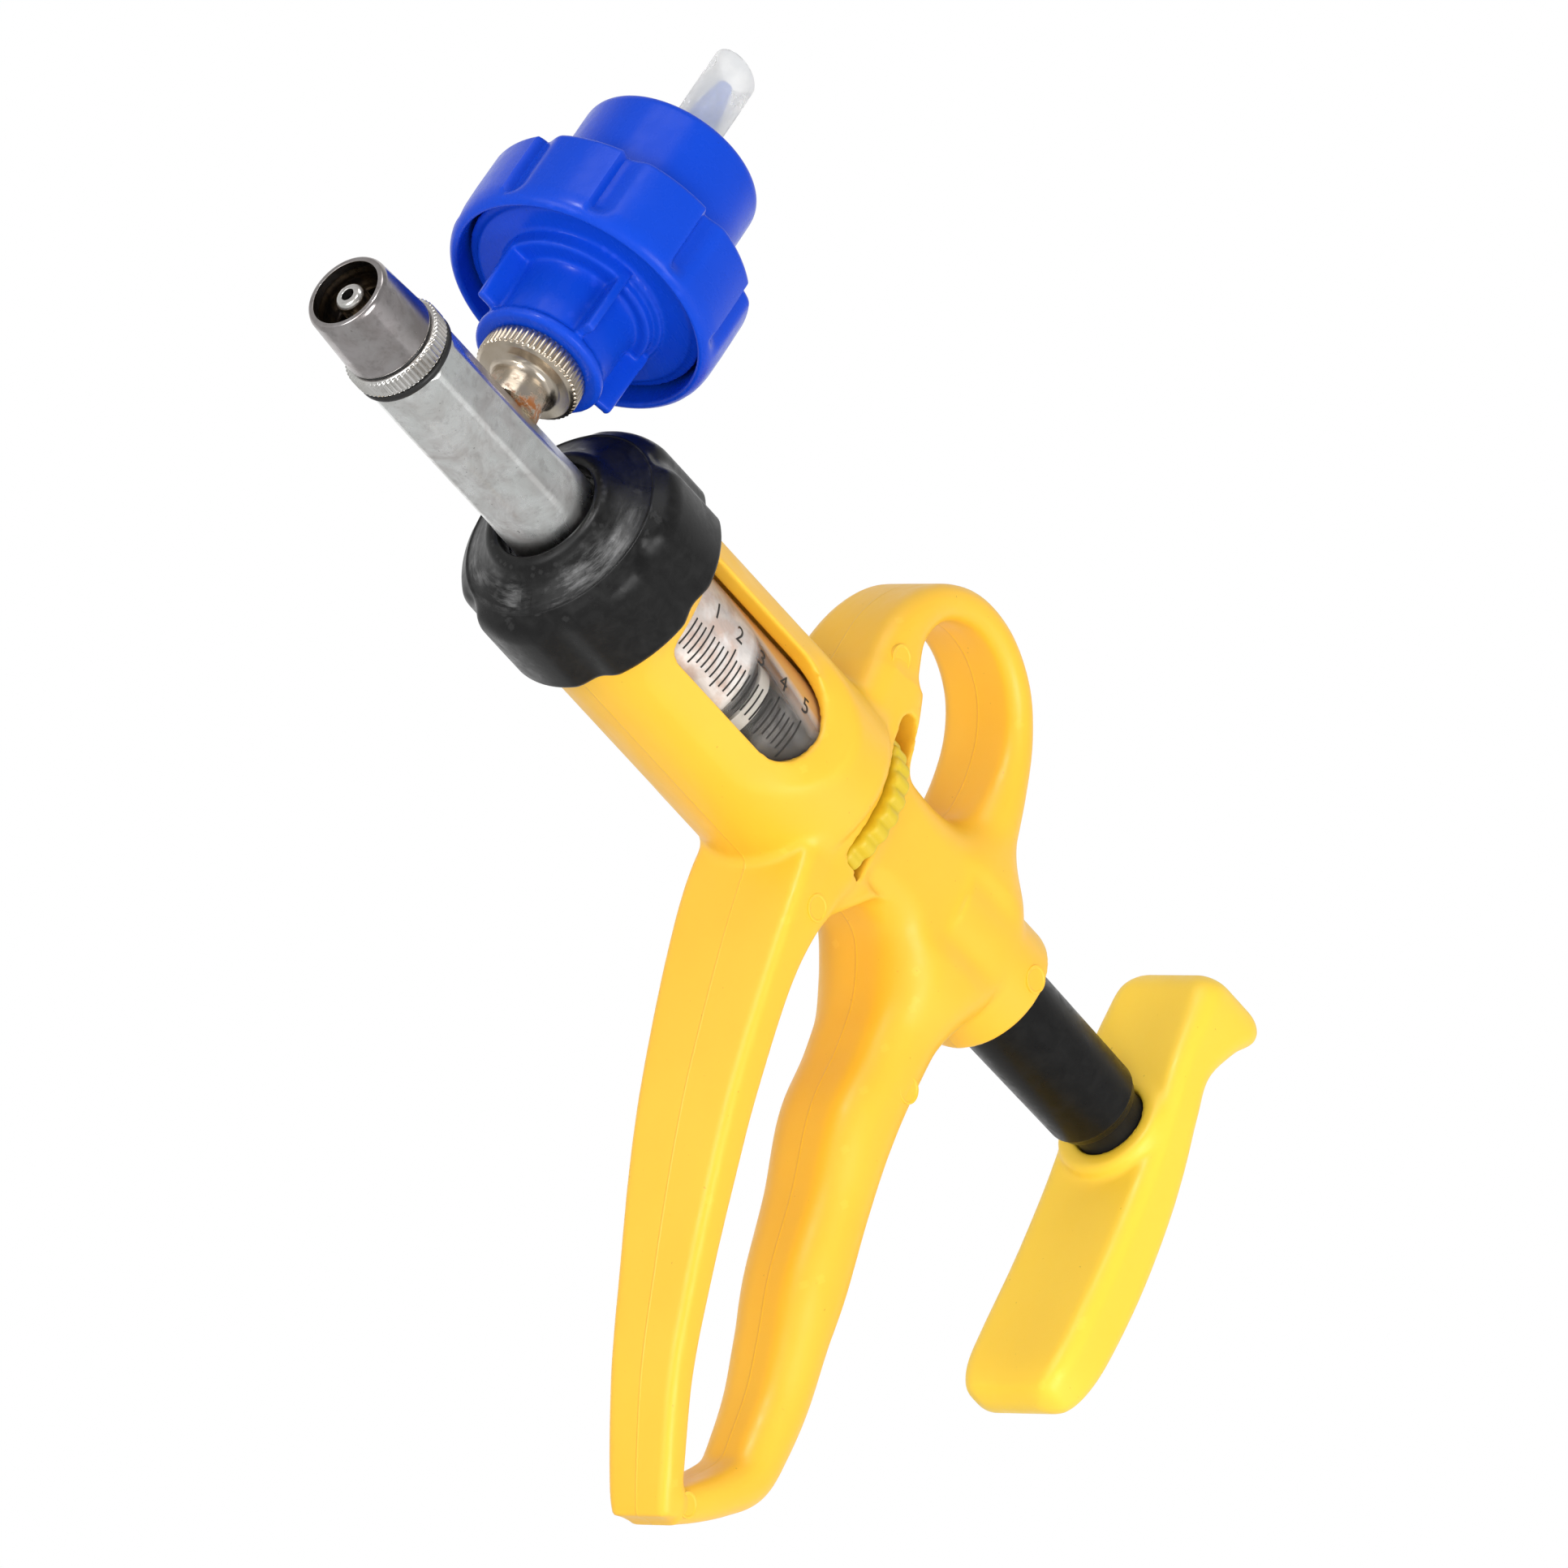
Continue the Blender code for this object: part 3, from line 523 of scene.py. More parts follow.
def plated(name, colour, tint, roughness, mottling, slot="chrome_plate"):
    """Bright plated metal with cloudy patches and pits."""
    look = Look(name, slot, colour, roughness, 1.0)
    cloud = look.noise(150.0, 6.0, 0.62, distortion=0.8)
    patches = look.remap(cloud, 0.40, 0.58, 0.0, mottling)
    base = look.mix(patches, colour, tint)
    cool = look.remap(look.noise(85.0, 4.0, 0.6, distortion=0.5), 0.42, 0.62, 0.0, 0.5)
    base = look.mix(cool, base, (colour[0] * 0.92, colour[1] * 0.98, colour[2] * 0.97))
    smudge = look.remap(look.noise(620.0, 5.0, 0.72), 0.52, 0.66, 0.0, 0.32)
    base = look.mix(smudge, base, tuple(0.62 * c for c in tint))
    pits = look.remap(look.noise(1500.0, 1.0), 0.74, 0.80, 0.0, 0.5)
    base = look.mix(pits, base, (0.12, 0.10, 0.09))
    look.put("Base Color", base)
    look.uneven_roughness(cloud, roughness, roughness + 0.16)
    fine = look.noise(2600.0, 2.0, 0.5, stretch=(0.05, 1.0, 1.0))
    ripple = look.bump(look.noise(210.0, 3.0), 0.12, 0.00012)
    look.put("Normal", look.bump(fine, 0.10, 0.00003, after=ripple))
    return look


chrome = plated("chrome_plate", (0.86, 0.86, 0.85), (0.60, 0.575, 0.56), 0.22, 1.0)
hood_chrome = plated("hood_chrome", (0.44, 0.41, 0.41), (0.29, 0.26, 0.25), 0.13, 0.8)
chrome_bright = plated("chrome_bright", (0.74, 0.72, 0.70), (0.46, 0.42, 0.38), 0.10, 0.5)
steel = plated("stainless_steel", (0.62, 0.62, 0.63), (0.50, 0.50, 0.50), 0.18, 0.4, "spring_steel")


def nickel_brass():
    """Nickel on brass, rusty near the valve body and with fine turning marks."""
    look = Look("nickel_brass", "nickel_brass", (0.60, 0.52, 0.42), 0.24, 1.0)
    cloud = look.noise(190.0, 4.0, 0.6)
    base = look.mix(look.remap(cloud, 0.35, 0.65, 0.0, 0.6), (0.60, 0.53, 0.44), (0.44, 0.36, 0.26))
    low = look.remap(look.axes()["Z"], ORIGIN_Z + 0.0070, ORIGIN_Z + 0.0105, 1.0, 0.0)
    rust = look.math("MULTIPLY", low, look.remap(look.noise(420.0, 5.0, 0.7), 0.46, 0.56))
    look.put("Base Color", look.mix(rust, base, (0.30, 0.10, 0.02)))
    look.put("Metallic", look.remap(rust, 0.0, 1.0, 1.0, 0.15))
    look.put("Roughness", look.remap(rust, 0.0, 1.0, 0.23, 0.75))
    turning = look.noise(5200.0, 1.0, 0.5, stretch=(0.06, 0.06, 1.0))
    look.grain(turning, 0.12, 0.00004)
    return look


nickel = nickel_brass()


def hood_bronze():
    """Worn brass inside the hood with grime, in near-black tones that are painted shade for the inside
    of the hood.
    """
    look = Look("worn_brass_painted_shade", "chrome_plate", (0.42, 0.30, 0.17), 0.30, 1.0)
    cloud = look.noise(500.0, 5.0, 0.65)
    grime_and_shade = look.remap(cloud, 0.38, 0.60)
    # Both tones are near-black, as painted shade inside the hood, with grime patches between them.
    look.put("Base Color", look.mix(grime_and_shade, (0.12, 0.085, 0.05), (0.025, 0.02, 0.018)))
    look.uneven_roughness(cloud, 0.22, 0.48)
    look.grain(cloud, 0.2, 0.00005)
    return look


bronze = hood_bronze()


def plain_detail(name, slot, colour, roughness, variation, scale, bump=0.15):
    """Even surface with slow colour variation and a fine grain."""
    look = Look(name, slot, colour, roughness)
    cloud = look.noise(scale, 4.0, 0.6)
    darker = tuple(c * (1.0 - variation) for c in colour)
    look.put("Base Color", look.mix(look.remap(cloud, 0.35, 0.65), colour, darker))
    look.uneven_roughness(cloud, roughness - 0.04, roughness + 0.10)
    look.grain(look.noise(scale * 4.0, 3.0), bump, 0.00005)
    return look


rubber = plain_detail("black_rubber", "black_rubber", (0.010, 0.010, 0.010), 0.42, 0.3, 600.0)
piston_white = plain_detail("piston_white", "white_plastic", (0.82, 0.80, 0.76), 0.36, 0.10, 260.0, 0.08)
ink = plain_detail("print_black", "black_rubber", (0.025, 0.022, 0.020), 0.50, 0.4, 900.0, 0.05)


def clear_glass():
    """Glass with a milky film over the front of the bore, painted with reflections: brownish cloudy
    patches and an amber band along the upper edge of the window.
    """
    look = Look("barrel_glass", "barrel_glass", (0.96, 0.95, 0.93), 0.04)
    look.put("IOR", 1.18)
    parts = look.axes()
    side = look.remap(parts["Z"], ORIGIN_Z - 0.006, ORIGIN_Z + 0.006, 0.85, 0.55)
    along = look.remap(parts["X"], ORIGIN_X + 0.0885, ORIGIN_X + 0.0905, 1.0, 0.05)
    smear = look.noise(240.0, 4.0, 0.6, stretch=(0.5, 1.0, 1.0), distortion=0.5)
    film = look.math("MULTIPLY", look.math("MULTIPLY", side, along),
                     look.remap(smear, 0.3, 0.7, 0.6, 1.2))
    behind = look.remap(parts["X"], ORIGIN_X + 0.0970, ORIGIN_X + 0.0990, 0.0, 0.22)
    behind = look.math("MULTIPLY", behind, look.remap(smear, 0.4, 0.7, 0.3, 1.0))
    film = look.math("MAXIMUM", film, behind)
    # Painted reflection of the yellow frame: an amber band along the upper edge of the window.
    slant = look.math("SUBTRACT", parts["X"], ORIGIN_X + 0.080)
    slant = look.math("ADD", parts["Z"], look.math("MULTIPLY", slant, 0.22))
    high = look.remap(slant, ORIGIN_Z + 0.0064, ORIGIN_Z + 0.0084)
    film = look.math("MAXIMUM", film, look.math("MULTIPLY", high, 0.86))
    # Painted reflections: brownish cloudy patches in the film.
    reflection_tint = look.remap(look.noise(310.0, 3.0), 0.42, 0.62)
    reflection_tint = look.mix(reflection_tint, (0.84, 0.78, 0.75), (0.62, 0.40, 0.30))
    reflection_tint = look.mix(high, reflection_tint, (0.62, 0.29, 0.008))
    look.put("Base Color", look.mix(film, (0.97, 0.95, 0.92), reflection_tint))
    look.put("Transmission Weight", look.math("SUBTRACT", 1.0, film))
    look.put("Roughness", look.remap(smear, 0.35, 0.7, 0.02, 0.16))
    return look


def frosted_tube():
    """Frosted clear plastic with small specks."""
    look = Look("draw_tube_plastic", "clear_tube", (0.80, 0.81, 0.82), 0.20)
    look.put("IOR", 1.10)
    look.put("Transmission Weight", 0.68)
    cloud = look.noise(230.0, 4.0, 0.6)
    frost = look.remap(cloud, 0.4, 0.65, 0.0, 0.8)
    look.put("Base Color", look.mix(frost, (0.86, 0.86, 0.86), (0.72, 0.73, 0.74)))
    specks = look.remap(look.noise(1300.0, 1.0), 0.74, 0.79, 0.0, 0.6)
    look.uneven_roughness(cloud, 0.24, 0.42)
    look.grain(specks, 0.2, 0.00005)
    return look


glass = clear_glass()
tube_look = frosted_tube()


# ---------------- frame moulding

FRAME_CELL = 0.42
SLEEVE_RADIUS = 14.8


def make_frame():
    """Sleeve, grip strip, hand grip and thumb loop in one piece. Gives where its marks go."""
    low = (60.5, -16.0, -103.0)
    x, y, z = grid(low, (168.0, 16.0, 43.0), FRAME_CELL)
    reach = np.hypot(y, z) + 0.0 * x
    # Barrel sleeve, its round shoulder and the round boss that runs to the wheel slot.
    outer = SLEEVE_RADIUS - 0.9 * (1.0 - step_between(x, 70.0, 70.5))
    sleeve = rounded_end(reach - outer, x - 119.0, 2.3)
    sleeve = np.maximum(sleeve, 61.5 - x)
    lip = np.maximum(np.abs(y) - (12.3 - z ** 2 / 44.0), np.maximum(np.abs(z) - 14.0, x - 122.5))
    sleeve = smooth_union(sleeve, np.maximum(lip, 117.8 - x), 0.5)
    strip = swept([
        (119.4, 19.5, 10.4, 17.6, 2.6), (120.0, 13.5, 13.0, 18.4, 2.8),
        (120.4, 6.0, 13.8, 18.8, 3.0), (120.2, -6.0, 13.6, 20.0, 2.6),
        (118.9, -16.5, 9.2, 21.2, 1.7), (119.6, -28.8, 6.2, 20.2, 1.5),
        (123.3, -45.1, 5.8, 18.0, 1.5), (127.1, -57.1, 5.5, 16.4, 1.5),
        (132.1, -70.4, 5.1, 14.2, 1.5), (137.6, -83.5, 4.8, 12.4, 1.5),
        (145.0, -96.2, 4.5, 11.2, 1.5), (147.6, -100.3, 3.8, 10.2, 1.5)], x, y, z)
    grip = swept([
        (147.6, -98.6, 5.0, 9.8, 2.0), (151.8, -95.0, 5.8, 10.8, 2.6),
        (156.5, -90.4, 6.6, 11.2, 3.2), (160.0, -85.6, 7.9, 11.4, 3.8),
        (160.4, -80.0, 8.8, 12.0, 4.3), (159.8, -73.0, 9.2, 12.9, 4.6),
        (158.0, -65.5, 10.0, 13.9, 5.0), (155.9, -57.0, 11.8, 14.9, 5.4),
        (153.3, -45.0, 11.4, 15.8, 5.4), (150.8, -34.0, 12.8, 16.8, 5.6),
        (150.6, -24.0, 12.4, 17.4, 5.6), (150.0, -8.0, 15.0, 18.0, 5.6)], x, y, z)
    loop = swept([
        (119.9, 11.0, 12.6, 18.6, 2.8), (118.4, 20.0, 10.4, 17.6, 3.2),
        (118.7, 27.5, 7.4, 16.2, 3.4), (122.4, 34.0, 5.6, 14.8, 2.7),
        (128.8, 37.6, 5.0, 14.2, 2.4), (136.3, 37.5, 4.8, 14.0, 2.3),
        (143.0, 34.0, 4.9, 14.2, 2.4), (147.2, 28.4, 5.4, 14.6, 2.6),
        (149.4, 21.4, 6.8, 15.6, 3.3), (150.4, 13.6, 10.0, 16.8, 4.6),
        (150.6, 6.0, 14.0, 17.6, 5.0)], x, y, z)
    body = swept([
        (121.5, -0.5, 29.0, 19.0, 3.0), (127.5, 0.3, 19.8, 18.8, 4.0),
        (133.0, 0.4, 18.8, 18.6, 5.0), (138.5, 0.2, 20.4, 18.6, 6.0),
        (143.5, -1.3, 26.2, 18.6, 7.0), (147.5, -2.6, 31.0, 18.8, 7.5),
        (152.0, -2.4, 32.0, 19.0, 8.0), (157.5, -0.8, 26.5, 19.6, 8.6),
        (160.6, -0.2, 20.0, 17.6, 8.4), (162.4, 0.0, 15.0, 14.0, 6.8)], x, y, z, level=True)
    rear_boss = np.maximum(rounded_end(reach - 10.3, x - 166.7, 0.8), 146.0 - x)
    # Bridge from the strip to the body, under the dose wheel.
    under = 0.755 * (x - 125.7) - 0.656 * (z + 15.7)
    bridge = np.maximum(under, np.maximum(z + 8.5, 119.5 - x))
    bridge = rounded_end(bridge, np.abs(y) - 9.3, 1.5)
    solid = joined(body, (grip, 5.0), (loop, 4.0), (strip, 2.2), (sleeve, 1.6), (rear_boss, 0.9),
                   (bridge, 2.0))
    # Window with a wide bevelled surround.
    opening = 8.1
    arc_x = 105.6 - opening
    window = np.where(x > arc_x, np.hypot(x - arc_x, z), np.abs(z)) - opening
    window = rounded_end(window, 74.4 - x, 2.2) + 0.0 * y
    # The surround dips from the sleeve to the glass all the way round the opening.
    band = 4.2
    lean = np.clip(np.abs(z) / np.maximum(window + opening, 0.1), 0.0, 1.0)
    top = np.sqrt(SLEEVE_RADIUS ** 2 - ((opening + band) * lean) ** 2)
    bottom = 10.9 + 0.9 * np.clip(1.0 - (z / opening) ** 2, 0.0, 1.0)
    height = bottom + (top - bottom) * np.clip(window / band, 0.0, 1.0)
    dip = np.maximum((height - np.abs(y)) * 0.8, window - band - 0.3)
    dip = np.maximum(dip, 70.6 - x)
    solid = smooth_cut(solid, dip, 0.6)
    solid = smooth_cut(solid, window, 0.3)
    # Slot for the dose wheel: it cuts right through above the axis and is a round pocket below.
    middle, top_end, half_width = 123.2, 15.4, 2.5
    upper = np.hypot(x - middle, np.maximum(z - (top_end - half_width), 0.0)) - half_width
    pocket = rounded_end(np.abs(x - middle) - half_width, reach - 14.4, 1.2)
    slot = np.where(z > 0.0, upper, pocket)
    solid = smooth_cut(solid, slot, 0.35)
    # Stepped bore.
    bore = np.where(x < 108.9, 11.0, np.where(x < 138.0, 6.6, np.where(x < 142.0, 2.8, 7.7)))
    solid = np.maximum(solid, bore - reach)
    marks = []
    for mark_x, mark_z, radius in ((116.9, 20.9, 2.0), (119.8, -18.7, 2.0), (164.3, 0.1, 2.0),
                                   (149.0, -97.2, 1.9), (152.3, -26.6, 2.0)):
        i, k = (int(round((a - b) / FRAME_CELL)) for a, b in ((mark_x, low[0]), (mark_z, low[2])))
        first = int(np.argmax(solid[i, :, k] < 0.0))
        before, after = solid[i, first - 1:first + 1, k]
        surface = y[0, first - 1, 0] + FRAME_CELL * before / (before - after)
        marks.append(((mark_x, surface, mark_z), radius))
    made = surface_nets("frame_moulding", solid, low, FRAME_CELL, yellow)
    show(made, "frame", BODY)
    return marks


def on_mark(centre):
    """Placer for a small disc whose axis points to -Y."""
    def place(along, radius, angle):
        return np.stack([centre[0] + radius * np.cos(angle), centre[1] - along,
                         centre[2] + radius * np.sin(angle)], -1)
    return place


def make_handle():
    """Push handle on the end of the rod."""
    low = (193.0, -11.0, -47.0)
    x, y, z = grid(low, (214.5, 11.0, 28.5), FRAME_CELL)
    bar = swept([
        (204.6, -44.3, 3.6, 12.0, 1.5), (204.6, -42.6, 7.0, 16.0, 2.4),
        (204.9, -39.0, 8.8, 18.2, 2.6), (205.5, -33.0, 9.6, 18.8, 2.6),
        (206.0, -22.0, 9.8, 18.8, 2.6), (205.6, -11.0, 9.4, 18.8, 2.6),
        (204.6, -2.6, 8.8, 18.8, 2.6), (202.9, 5.6, 8.2, 18.8, 2.6),
        (202.0, 11.6, 8.2, 18.6, 2.6), (203.4, 17.9, 11.4, 18.4, 3.0),
        (205.0, 22.0, 14.7, 17.8, 3.4), (205.4, 24.4, 13.2, 16.0, 3.4),
        (204.9, 25.9, 8.6, 12.0, 2.5)], x, y, z, upright=True)
    reach = np.hypot(y, z) + 0.0 * x
    boss = np.maximum(rounded_end(reach - 8.6, 198.7 - x, 1.5), x - 205.0)
    solid = smooth_union(bar, boss, 0.8)
    hole = np.maximum(reach - 5.6, x - 201.7)
    rod = np.maximum(reach - 2.8, x - 206.3)
    solid = smooth_cut(solid, hole, 0.5)
    solid = np.maximum(solid, -rod)
    made = surface_nets("push_handle", solid, low, FRAME_CELL, handle_yellow_painted_light)
    show(made, "t_handle", "plunger")


for number, (centre, radius) in enumerate(make_frame()):
    turned("ejector_mark_%d" % (number + 1), None, BODY, yellow, [
        (-0.6, 0.0), (-0.6, radius, 0.1), (0.14, radius, 0.08), (0.14, radius - 0.3, 0.1),
        (0.02, radius - 0.45, 0.1), (0.04, 0.0)], place=on_mark(centre), segments=40)
make_handle()


# ---------------- metal front

SAME_PLACE = 1e-6


def serrations(along, radius, around):
    """Fine grooves along the axis on the flange's rim."""
    wave = np.abs(np.sin(30.0 * around)) ** 1.2
    zone = (along > 13.0 - SAME_PLACE) & (along < 15.8 + SAME_PLACE) & (radius > 7.0)
    return along, np.where(zone, radius - 0.34 * (1.0 - wave), radius)


turned("lock_hood", "luer_hood", "luer_nozzle", hood_chrome, [
    (1.72, 5.15, 0.1), (1.72, 5.85, 0.25), (2.3, 6.2, 0.3), (12.2, 6.72, 0.1), (12.6, 6.6, 0.2),
    (12.6, 5.1, 0.1)], segments=128)

# Threaded lining inside the hood, in brass painted near-black as shade for the inside of the hood.
turned("lock_hood_lining", None, "luer_nozzle", bronze, [
    (1.76, 5.14, 0.05), (1.74, 5.75, 0.15), (1.9, 5.82, 0.1), (2.15, 5.3, 0.2), (3.2, 5.12, 0.2),
    (4.0, 4.82, 0.3), (4.7, 5.1, 0.2), (6.4, 5.12, 0.2), (7.2, 4.82, 0.3), (8.0, 5.1, 0.2),
    (11.8, 5.12), (11.8, 5.2), (3.0, 5.2)], segments=96)

turned("luer_cone_and_flange", "luer_nozzle", "luer_nozzle", chrome_bright, [
    (2.25, 0.95, 0.1), (2.25, 1.75, 0.4), (2.9, 2.25, 0.4), (6.6, 2.3, 0.3), (7.4, 2.9, 0.4),
    (8.2, 4.7, 0.3), (12.75, 4.7, 0.1), (12.9, 6.9, 0.2), (13.2, 7.48, 0.25), (15.6, 7.48, 0.25),
    (15.9, 7.1, 0.1), (15.95, 5.0, 0.1), (17.2, 5.0), (17.2, 4.0), (21.5, 4.0), (21.5, 0.95)],
    segments=360, rim=serrations)

turned("hood_shadow_ring", None, "luer_nozzle", rubber, [
    (12.55, 5.4, 0.1), (12.55, 6.5, 0.15), (12.95, 6.6, 0.15), (12.95, 5.4, 0.1)])

turned("nozzle_seal", "nozzle_o_ring", "luer_nozzle", rubber, [
    (16.0, 5.3, 0.2), (16.0, 7.2, 0.4), (16.55, 7.45, 0.4), (17.15, 7.2, 0.4), (17.15, 5.3, 0.2)])


def ground_flats(along, radius, around):
    """Eight flats along the valve body that run out before the nut."""
    zone = (radius > 6.6) & (radius < 7.02) & (along < 52.0)
    turn = np.degrees(around) + 69.0
    across = np.radians((turn % 45.0) - 22.5)
    flat = np.minimum(radius, 6.62 / np.cos(across))
    runout = 1.0 - step_between(along, 44.0, 50.0)
    return along, np.where(zone, radius + (flat - radius) * runout, radius)


turned("valve_body_shell", "valve_body", BODY, chrome, [
    (17.3, 4.3), (17.3, 6.7, 0.2), (17.75, 7.0, 0.3), (24.0, 7.0), (32.0, 7.0), (44.0, 7.0),
    (46.0, 7.0), (48.0, 7.0), (50.0, 7.0), (55.3, 7.0, 0.2), (55.3, 10.4, 0.2), (58.0, 10.4, 0.1),
    (58.0, 7.05, 0.1), (65.0, 7.05), (65.0, 5.6), (67.2, 5.6), (67.2, 7.05), (73.2, 7.05, 0.4),
    (73.4, 2.5, 0.2), (33.0, 2.5), (33.0, 1.6), (31.0, 1.6), (31.0, 4.3)],
    segments=192, rim=ground_flats)

turned("nose_seal", "nose_o_ring", BODY, rubber, [
    (65.2, 5.8, 0.2), (65.35, 7.2, 0.5), (66.1, 7.38, 0.4), (66.9, 7.2, 0.5), (67.0, 5.8, 0.2)])


def connector_rim(along, radius, around):
    """Knurling on the widest part of the connector."""
    wave = np.abs(np.sin(26.0 * around)) ** 0.8
    strength = step_between(radius, 7.3, 7.6)
    return along, radius - 0.32 * (1.0 - wave) * strength


turned("inlet_connector_turning", "inlet_connector", BODY, nickel, [
    (6.3, 2.6), (6.3, 4.65, 0.1), (9.0, 4.35, 0.6), (11.1, 4.35, 0.9), (11.75, 5.2, 0.35),
    (11.8, 6.9, 0.12), (12.15, 7.4, 0.12), (12.45, 7.7, 0.12), (15.0, 7.7, 0.2), (15.2, 7.4, 0.1),
    (15.2, 4.9), (23.4, 4.9, 0.3), (23.4, 1.2), (14.0, 1.2), (14.0, 2.5)],
    place=on_adapter, segments=416, rim=connector_rim)

# ---------------- end nut

NUT_PHASE = math.radians(-17.5)


def nut_lobes(along, radius, around):
    """Six lobes with a notch between each two."""
    phase = ((around - NUT_PHASE) / FULL_TURN * 6.0 + 0.5) % 1.0 - 0.5
    notch = 1.0 - step_between(np.abs(phase), 0.01, 0.21)
    strength = step_between(radius, 15.0, 16.8)
    return along, radius - 1.05 * notch * strength


turned("end_nut_moulding", "end_nut", "end_nut", nut_black, [
    (52.9, 7.65, 0.1), (52.0, 7.8, 0.3), (51.6, 8.6, 0.6), (52.0, 9.7, 0.7), (53.1, 10.4, 0.7),
    (54.2, 11.6, 1.0), (55.3, 13.6, 0.8), (55.75, 14.7, 0.3), (55.65, 15.0, 0.2), (56.1, 15.5, 0.4),
    (57.2, 16.8, 0.9), (58.8, 17.4, 0.9), (62.0, 17.42, 0.5), (69.3, 17.42, 0.4), (69.9, 16.9, 0.3),
    (69.9, 14.25, 0.2), (61.2, 14.2), (61.2, 10.9), (55.0, 10.9), (55.0, 7.75)],
    segments=288, rim=nut_lobes, arc=7)

# ---------------- barrel and plunger

turned("glass_cylinder", "glass_barrel", BODY, glass, [
    (61.0, 7.5, 0.15), (61.0, 10.5, 0.2), (107.4, 10.5, 0.2), (107.4, 7.5, 0.15)], segments=128)
turned("front_glass_seal", "front_barrel_seal", BODY, rubber, [
    (58.3, 7.6, 0.2), (58.3, 10.4, 0.2), (60.7, 10.4, 0.2), (60.7, 7.6, 0.2)])
turned("rear_glass_seal", "rear_barrel_seal", BODY, rubber, [
    (107.7, 7.3, 0.2), (107.7, 10.4, 0.2), (108.6, 10.4, 0.2), (108.6, 7.3, 0.2)])
turned("piston_moulding", "piston", "plunger", piston_white, [
    (90.2, 0.0), (90.2, 6.9, 0.3), (90.5, 7.15, 0.2), (92.1, 7.15, 0.15), (92.1, 5.0), (94.6, 5.0),
    (94.6, 7.15, 0.15), (96.9, 7.15, 0.3), (97.2, 6.8, 0.2), (97.2, 2.8), (91.9, 2.8), (91.9, 0.0)])
turned("piston_seal", "piston_o_ring", "plunger", rubber, [
    (92.3, 5.3, 0.2), (92.3, 6.9, 0.4), (93.35, 7.38, 0.8), (94.4, 6.9, 0.4), (94.4, 5.3, 0.2)])
turned("rod_bar", "piston_rod", "plunger", steel, [
    (92.2, 0.0), (92.2, 2.3, 0.2), (92.5, 2.5, 0.2), (205.6, 2.5, 0.2), (206.0, 2.2, 0.2), (206.0, 0.0)],
    segments=64)
turned("dose_sleeve_tube", "dose_sleeve", "dose_sleeve", tube_black, [
    (97.5, 3.1, 0.2), (97.5, 6.2, 0.4), (126.0, 6.2, 0.3), (126.0, 3.1, 0.2)])
turned("slide_tube_shell", "slide_tube", "plunger", tube_black, [
    (158.6, 5.6), (158.6, 7.3, 0.2), (176.0, 7.15), (194.3, 6.95, 0.3), (194.7, 6.55, 0.2),
    (195.8, 6.3, 0.2), (195.8, 5.4, 0.1), (201.4, 5.4), (201.4, 2.8), (192.8, 2.8), (192.8, 5.6)])


def wheel_rim(along, radius, around):
    """Thirty ribs around the dose wheel."""
    wave = 0.5 + 0.5 * np.cos(30.0 * around)
    zone = step_between(radius, 10.5, 13.0)
    return along, radius - 0.5 * (1.0 - wave) ** 1.6 * zone


turned("dose_wheel_moulding", "dose_wheel", "dose_wheel", wheel_look, [
    (121.0, 6.6, 0.2), (121.0, 11.0), (121.05, 13.2, 0.5), (121.5, 13.9, 0.5), (124.0, 13.9, 0.6),
    (124.45, 13.0, 0.5), (124.5, 11.0), (124.5, 6.6, 0.2)], segments=288, rim=wheel_rim)

# ---------------- scale on the glass

PRINT_RADIUS = 10.56
PRINT_DEPTH = 0.05
# Length of barrel that holds one millilitre, and where the scale starts.
ML = 5.62
ZERO_X = 74.2
BAR_HALF_WIDTH = 0.14
BAR_PARTS = 10
FIGURE_SIZE = 3.5
FIGURE_ANGLE = math.radians(-105.0)
LONGEST_EDGE = 0.5


def bar(x, start, end):
    """Thin curved strip of print around part of the glass."""
    vertices = []
    faces = []
    for i in range(BAR_PARTS + 1):
        around = start + (end - start) * i / BAR_PARTS
        for side in (-BAR_HALF_WIDTH, BAR_HALF_WIDTH):
            for r in (PRINT_RADIUS - PRINT_DEPTH, PRINT_RADIUS):
                vertices.append((x + side, r * math.sin(around), -r * math.cos(around)))
    for i in range(BAR_PARTS):
        a = 4 * i
        b = a + 4
        faces += [[a, a + 1, b + 1, b], [a + 1, a + 3, b + 3, b + 1], [a + 3, a + 2, b + 2, b + 3],
                  [a + 2, a, b, b + 2]]
    last = 4 * BAR_PARTS
    faces += [[0, 2, 3, 1], [last, last + 1, last + 3, last + 2]]
    return vertices, faces


